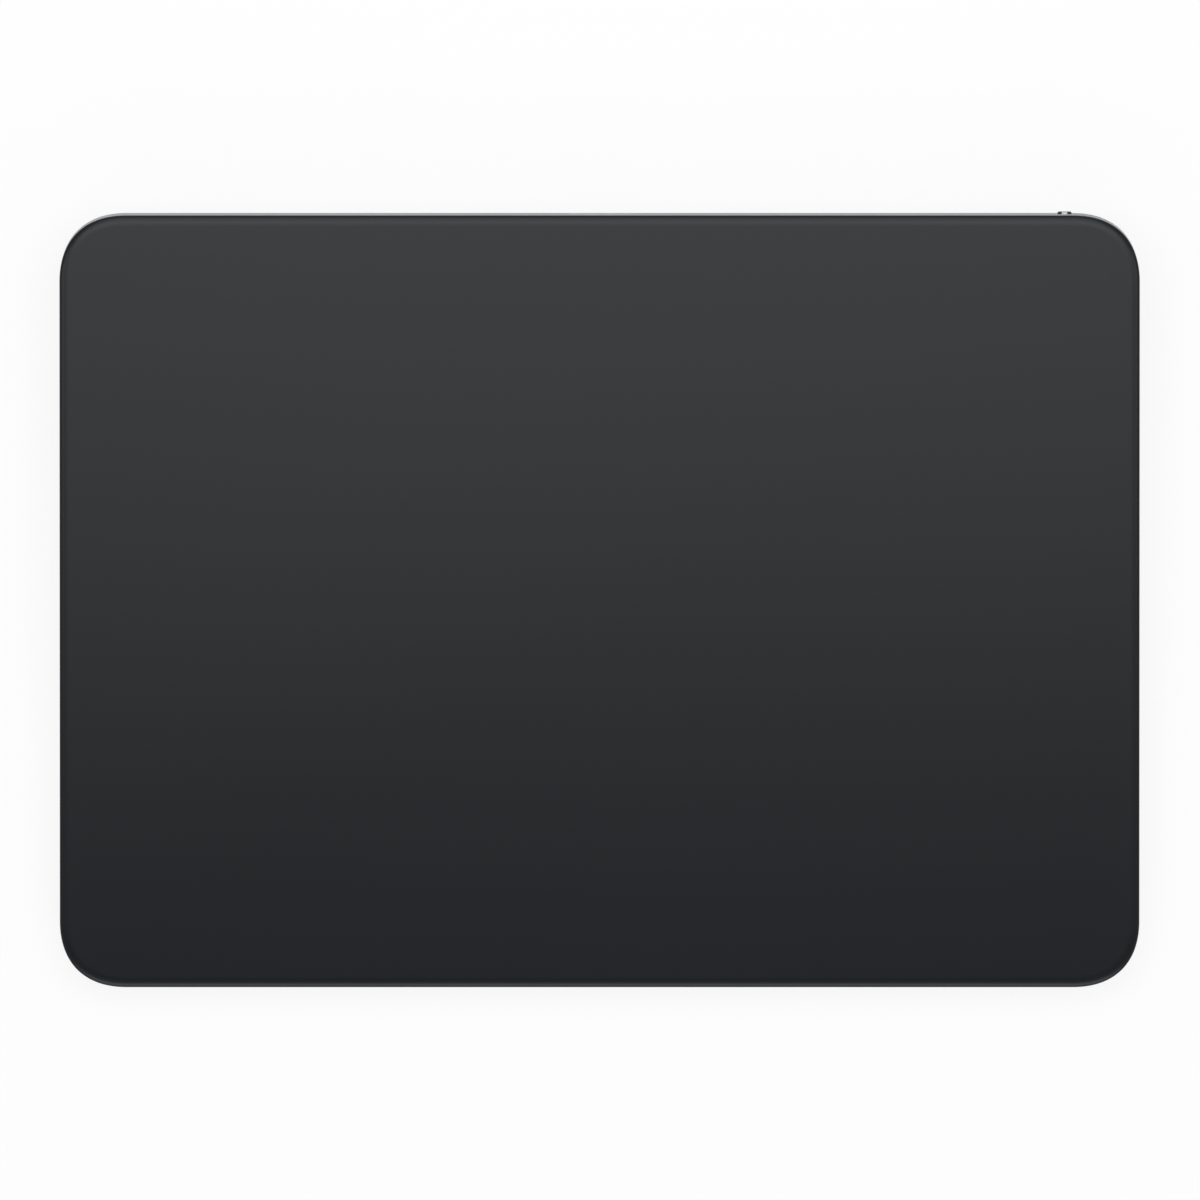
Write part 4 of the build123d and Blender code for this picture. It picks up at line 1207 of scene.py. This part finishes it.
def small_parts(name, body, tree, rows, level, matrix=None):
    # Rows of ceramic bars with tinned caps, on a board's free strips
    found = {}
    for kind, x, y, step_x, step_y, count, turn in rows:
        spots = found.setdefault(kind, [])
        for number in range(count):
            place = (x * mm + number * step_x * mm, y * mm + number * step_y * mm, level)
            spots.append((place, turn * pi / 2))
    bodies, caps = [], []
    for kind, spots in found.items():
        long, across, tall, cap = part_sizes[kind]
        sizes = {"Long": long, "Across": across, "Tall": tall * part_body_tall}
        bodies.append(grown(tree, point_mesh(*zip(*spots)), "chip", sizes))
        sizes = {"Long": long, "Across": across * part_cap_across, "Tall": tall}
        sizes.update({"Start": cap, "End": 0.5, "Copies": 2})
        caps.append(grown(tree, point_mesh(*zip(*spots)), "shield_steel", sizes))
    piece_of(name + "_bodies", together(*bodies), body, "chip", finish="ceramic", matrix=matrix)
    piece_of(name + "_caps", together(*caps), body, "shield_steel", matrix=matrix)


# Shields
def pin_tree():
    # Round-ended pins in rows, pushed into a lid to dimple it
    tree, given, ends = shape_tree("dimple_pins", "Places", "Pins", pin_sizes)
    places, radius, depth, finish = given
    tip, head = radius * pin_tip_share, radius * pin_head_share
    profile = [(0.0, -depth), (tip, -depth), (radius, 0.0), (head, depth), (0.0, depth)]
    return placed(tree, turned(tree, profile, sides=12), places, finish, ends)


def shields():
    # A drawn lid snapped over a folded frame
    tree = pin_tree()
    frame_corner, lid_corner, inner_corner = shield_corners
    for name in ("large_shield", "small_shield"):
        low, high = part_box(name)
        middle, half = middle_and_half(low, high)
        lid_low = low.z + lid_drop_share * (high.z - low.z)
        shape, hollow = bmesh.new(), bmesh.new()
        rows = (
            (lid_thickness, frame_corner, low.z),
            (lid_thickness, frame_corner, lid_low),
            (0.0, lid_corner, lid_low),
            (0.0, lid_corner, high.z - lid_edge),
            (lid_edge_middle, lid_corner, high.z - lid_edge_middle),
            (lid_edge, lid_corner, high.z),
        )
        drawn_in(shape, middle, half, rows)
        heights = (low.z - lid_thickness, high.z - shield_roof)
        drawn_in(hollow, middle, half, [(shield_wall, inner_corner, height) for height in heights])
        across, along = [int((2 * size - pin_margin) / pin_pitch) + 1 for size in (half.x, half.y)]
        places = [
            (
                middle.x + (column - (across - 1) / 2) * pin_pitch,
                middle.y + (row - (along - 1) / 2) * pin_pitch,
                high.z,
            )
            for column in range(across)
            for row in range(along)
        ]
        pins = grown(tree, point_mesh(places), "shield_steel")
        lidded = carved(carved(settled(shape), settled(hollow)), pins)
        piece_of(name + "_can", lidded, "base", "shield_steel", name)


# Aerial and gauges
def meander_tree():
    # A flat track that runs to and fro, across the first axis
    tree, given, ends = shape_tree("meander_track", "Places", "Tracks", aerial_track)
    places, runs, pitch, length, across, thick, finish = given
    index = given_by(tree, "GeometryNodeInputIndex")
    run = maths(tree, "FLOOR", index / 2.0)
    far = maths(tree, "LESS_THAN", maths(tree, "ABSOLUTE", index % 4.0 - 1.5), 1.0)
    place = vector(tree, (run - (runs - 1.0) * 0.5) * pitch, (far - 0.5) * length)
    points = set_at(tree, mesh_line(tree, runs * 2.0), place)
    track = given_by(tree, "GeometryNodeMeshToCurve", {0: points})
    track = upright(tree, rounded(tree, track, pitch * track_round_share, count=2, limited=True))
    return placed(tree, swept(tree, track, rectangle(tree, across, thick)), places, finish, ends)


def tracks():
    tree = meander_tree()
    grown_piece("aerial_track", tree, point_mesh([aerial_track_place]), "base", "gold")
    places = []
    for low, high in loose_boxes("strain_gauges", slope):
        middle = (low + high) / 2
        places.append((middle.x, middle.y, high.z - gauge_sink))
    seed = point_mesh(places)
    grown_piece("gauge_grids", tree, seed, "base", "copper", matrix=slope, sizes=gauge_track)


# Turned sockets and pads
def coax_tree():
    # A spring ring round a sunken floor and a centre pin
    tree, given, ends = shape_tree("coax_rings", "Places", "Rings", coax_sizes)
    places, radius, height, finish = given
    profile = [(radius * share_out, height * share_up) for share_out, share_up in coax_profile]
    return placed(tree, turned(tree, profile, sides=28), places, finish, ends)


def pad_tree():
    # A soft round pad, held in a little at its waist
    tree, given, ends = shape_tree("waisted_pads", "Places", "Pads", pad_sizes)
    places, radius, height, fillet, waist, finish = given
    rim = [(radius - fillet * inner, fillet * up) for inner, up in quarter_arc(3)]
    profile = [(0.0, 0.0), *rim]
    for share in pad_waist_shares:
        profile.append((radius - waist + waist * (1 - sin(share * pi)), height * share))
    profile += [(out, height - up) for out, up in reversed(rim)]
    profile.append((0.0, height))
    return placed(tree, smoothed(tree, turned(tree, profile, sides=64)), places, finish, ends)


def turned_set(name, tree, body, slot, node, matrix=None):
    # A turned shape in place of each solid of a node, as wide and as tall as the first of them
    boxes = loose_boxes(node, matrix)
    low, high = boxes[0]
    sizes = {"Radius": (high.x - low.x) / 2, "Height": high.z - low.z}
    seed = point_mesh([((low.x + high.x) / 2, (low.y + high.y) / 2, low.z) for low, high in boxes])
    grown_piece(name, tree, seed, body, slot, node, matrix=matrix, sizes=sizes)


# Pieces that give under a press
def giving(name, slot, start, end, cuts):
    # A copy of a node, cut across in even steps from start to end, over the run where it bends
    shape = node_shape(name)
    for number in range(cuts):
        parts = [*shape.verts, *shape.edges, *shape.faces]
        place = start.lerp(end, number / (cuts - 1))
        bmesh.ops.bisect_plane(shape, geom=parts, dist=weld, plane_co=place, plane_no=end - start)
    made = piece_of(name + "_bend", settled(shape), None, slot, name)
    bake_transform(made)


def bending_pieces():
    for rear, side_v in (("rear", 1), ("front", -1)):
        for left, side_u in (("left", -1), ("right", 1)):
            start, end = [
                slope @ Vector((side_u * flexure_u, side_v * along, flexure_w))
                for along in (leaf_bend_start, leaf_bend_end)
            ]
            giving(f"flexure_{rear}_{left}", "spring_steel", start, end, leaf_cuts)
    start, end = [Vector((*touch_flex_place, height)) for height in (touch_flex_low, touch_flex_high)]
    giving("touch_flex", "flex", start, end, touch_flex_cuts)


# Battery
def battery_pouch():
    # A pressed pouch with a thin sealed ledge at the end where its tabs come out
    low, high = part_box("battery_cell")
    start = low.x + pouch_ledge
    middle = ((start + high.x) / 2, (low.y + high.y) / 2)
    half = ((high.x - start) / 2, (high.y - low.y) / 2)
    foot_corner, under_corner, over_corner = pouch_corners
    rows = [(pouch_under, foot_corner, low.z)]
    for inner, up in quarter_arc(3)[1:]:
        rows.append((pouch_under * inner, under_corner, low.z + pouch_under * up))
    for inner, up in reversed(quarter_arc(6)):
        rows.append((pouch_over * inner, over_corner, high.z - pouch_over * up))
    shape, ledge = bmesh.new(), bmesh.new()
    drawn_in(shape, middle, half, rows, steps=8)
    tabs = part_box("battery_tabs")
    ledge_middle = (low.x + pouch_ledge / 2 + ledge_overlap, middle[1])
    ledge_x, ledge_y = pouch_ledge / 2 + ledge_overlap, half[1] - ledge_inset
    inner, outer = ledge_covers
    sections = [
        (ledge_x - inset, ledge_y, ledge_corner, height)
        for inset, height in (
            (ledge_edge, tabs[0].z - outer),
            (0.0, tabs[0].z - inner),
            (0.0, tabs[1].z + inner),
            (ledge_edge, tabs[1].z + outer),
        )
    ]
    lofted(ledge, ledge_middle, sections)
    mesh = carved(settled(shape), settled(ledge), "UNION")
    piece_of("battery_pouch", mesh, "base", "pouch", "battery_cell")


def tape_strips():
    shape = bmesh.new()
    for low, high in loose_boxes("battery_strips"):
        middle, half = middle_and_half(low, high)
        heights = (low.z, low.z + tape_edge, high.z - tape_edge, high.z)
        insets = (tape_edge, 0.0, 0.0, tape_edge)
        rows = [(inset, tape_corner, height) for inset, height in zip(insets, heights)]
        drawn_in(shape, middle, half, rows)
    piece_of("battery_tape", settled(shape), "base", "adhesive", "battery_strips")


# Switch knob
def switch_knob():
    # The slide with its bright crest, and a dark insert at each end of the knob as painted shade
    slide = settled(node_shape("switch_slider"))
    low, high = loose_boxes("switch_slider", slope)[0]
    middle_w = (low.z + high.z) / 2
    rows = [(0.0, shade_insert_corner, middle_w + side * shade_insert_half_height) for side in both_ways]
    pockets, shade_inserts = bmesh.new(), bmesh.new()
    for side in both_ways:
        place = (knob_u + side * (knob_crest + shade_insert_half_across), high.y)
        for found, gap in ((pockets, 0.0), (shade_inserts, shade_insert_gap)):
            drawn_in(found, place, (shade_insert_half_across - gap, shade_insert_depth - gap), rows)
    body = carved(slide, settled(pockets, slope))
    piece_of("switch_slide", body, "power_switch", "aluminium", "switch_slider")
    # Dark inserts painted in as shade beside the crest, not a real grip
    ends = carved(slide, settled(shade_inserts, slope), "INTERSECT")
    piece_of("knob_painted_shade_inserts", ends, "power_switch", "rubber", finish="painted_shade_grip")


# Stage, light and camera
def floor_finish():
    # Matt white that also lights itself for the camera and in reflections
    made = bpy.data.materials.new("white_floor")
    made.use_nodes = True
    tree = made.node_tree
    tree.nodes.clear()
    matt = given_by(tree, "ShaderNodeBsdfDiffuse", {"Color": floor_white})
    glow = given_by(tree, "ShaderNodeEmission", {"Color": full_white, "Strength": 1.0})
    rays = add(tree, "ShaderNodeLightPath").outputs
    camera, through, glossy = [
        Wire(rays[label]) for label in ("Is Camera Ray", "Is Transmission Ray", "Is Glossy Ray")
    ]
    seen = maths(tree, "MAXIMUM", camera, through) * floor_glow
    share = maths(tree, "MAXIMUM", seen, glossy * floor_glow_in_metal)
    mixed = given_by(tree, "ShaderNodeMixShader", {0: share, 1: matt, 2: glow})
    add(tree, "ShaderNodeOutputMaterial", {"Surface": mixed})
    return made


def floor():
    mesh = bpy.data.meshes.new("studio_floor")
    corners = [(x * floor_reach, y * floor_reach, floor_level) for x, y in quarters]
    mesh.from_pydata(corners, [], [(2, 3, 0, 1)])
    mesh.materials.append(floor_finish())
    object_of("studio_floor", mesh)


def softbox(name, x, y, across, along, height, level):
    # A panel over the part that faces down; level 1 is as bright as a white wall
    light = bpy.data.lights.new(name, "AREA")
    light.shape = "RECTANGLE"
    light.size, light.size_y = across, along
    light.energy = pi * across * along * level
    made = object_of(name, light)
    made.location = (x, y, height)
    made.visible_camera = False


def studio():
    world = bpy.data.worlds.new("studio")
    bpy.context.scene.world = world
    world.use_nodes = True
    tree = world.node_tree
    tree.nodes.clear()
    glossy = given_by(tree, "ShaderNodeLightPath", output="Is Glossy Ray")
    height = axes(tree, given_by(tree, "ShaderNodeTexCoord", output="Generated"))[2]
    inputs = {"Value": height, "From Min": sky_turn[0], "From Max": sky_turn[1]}
    inputs.update({"To Min": wall_level, "To Max": ceiling_level})
    walls = given_by(tree, "ShaderNodeMapRange", inputs, interpolation_type="SMOOTHSTEP")
    level = given_by(tree, "ShaderNodeMix", {0: glossy, 2: room_level, 3: walls})
    sky = given_by(tree, "ShaderNodeBackground", {"Color": full_white, "Strength": level})
    add(tree, "ShaderNodeOutputWorld", {"Surface": sky})
    for name, given in softboxes.items():
        softbox(name, *given)


def look_down():
    lens = bpy.data.cameras.new("camera")
    lens.lens, lens.sensor_width = lens_length, film_width
    lens.clip_start, lens.clip_end = lens_near, lens_far
    made = object_of("camera", lens)
    made.location = (*camera_shift, mid_z + photo_across * lens_length / film_width)
    bpy.context.scene.camera = made


look_down()
studio()
floor()
for node in nodes.values():
    dress(node)
touch_glass()
rubber_feet()
all_screws()
haptic_coils()
charging_contacts()
lead_shape = lead_tree()
touch_sockets = all_chips(lead_shape)
all_sockets(lead_shape, touch_sockets)
bar_shape = small_part_tree()
small_parts("board_parts", "base", bar_shape, part_rows, board_top)
small_parts("aerial_chip", "base", bar_shape, aerial_rows, aerial_top)
small_parts("touch_parts", "touch_plate", bar_shape, touch_rows, touch_board_under, hanging)
shields()
tracks()
turned_set("coax_rings", coax_tree(), "base", "gold", "coax_sockets")
turned_set("gel_pads", pad_tree(), "pads", "silicone", "flexure_pads", slope)
bending_pieces()
battery_pouch()
tape_strips()
switch_knob()

bpy.context.scene.view_settings.view_transform = "Standard"
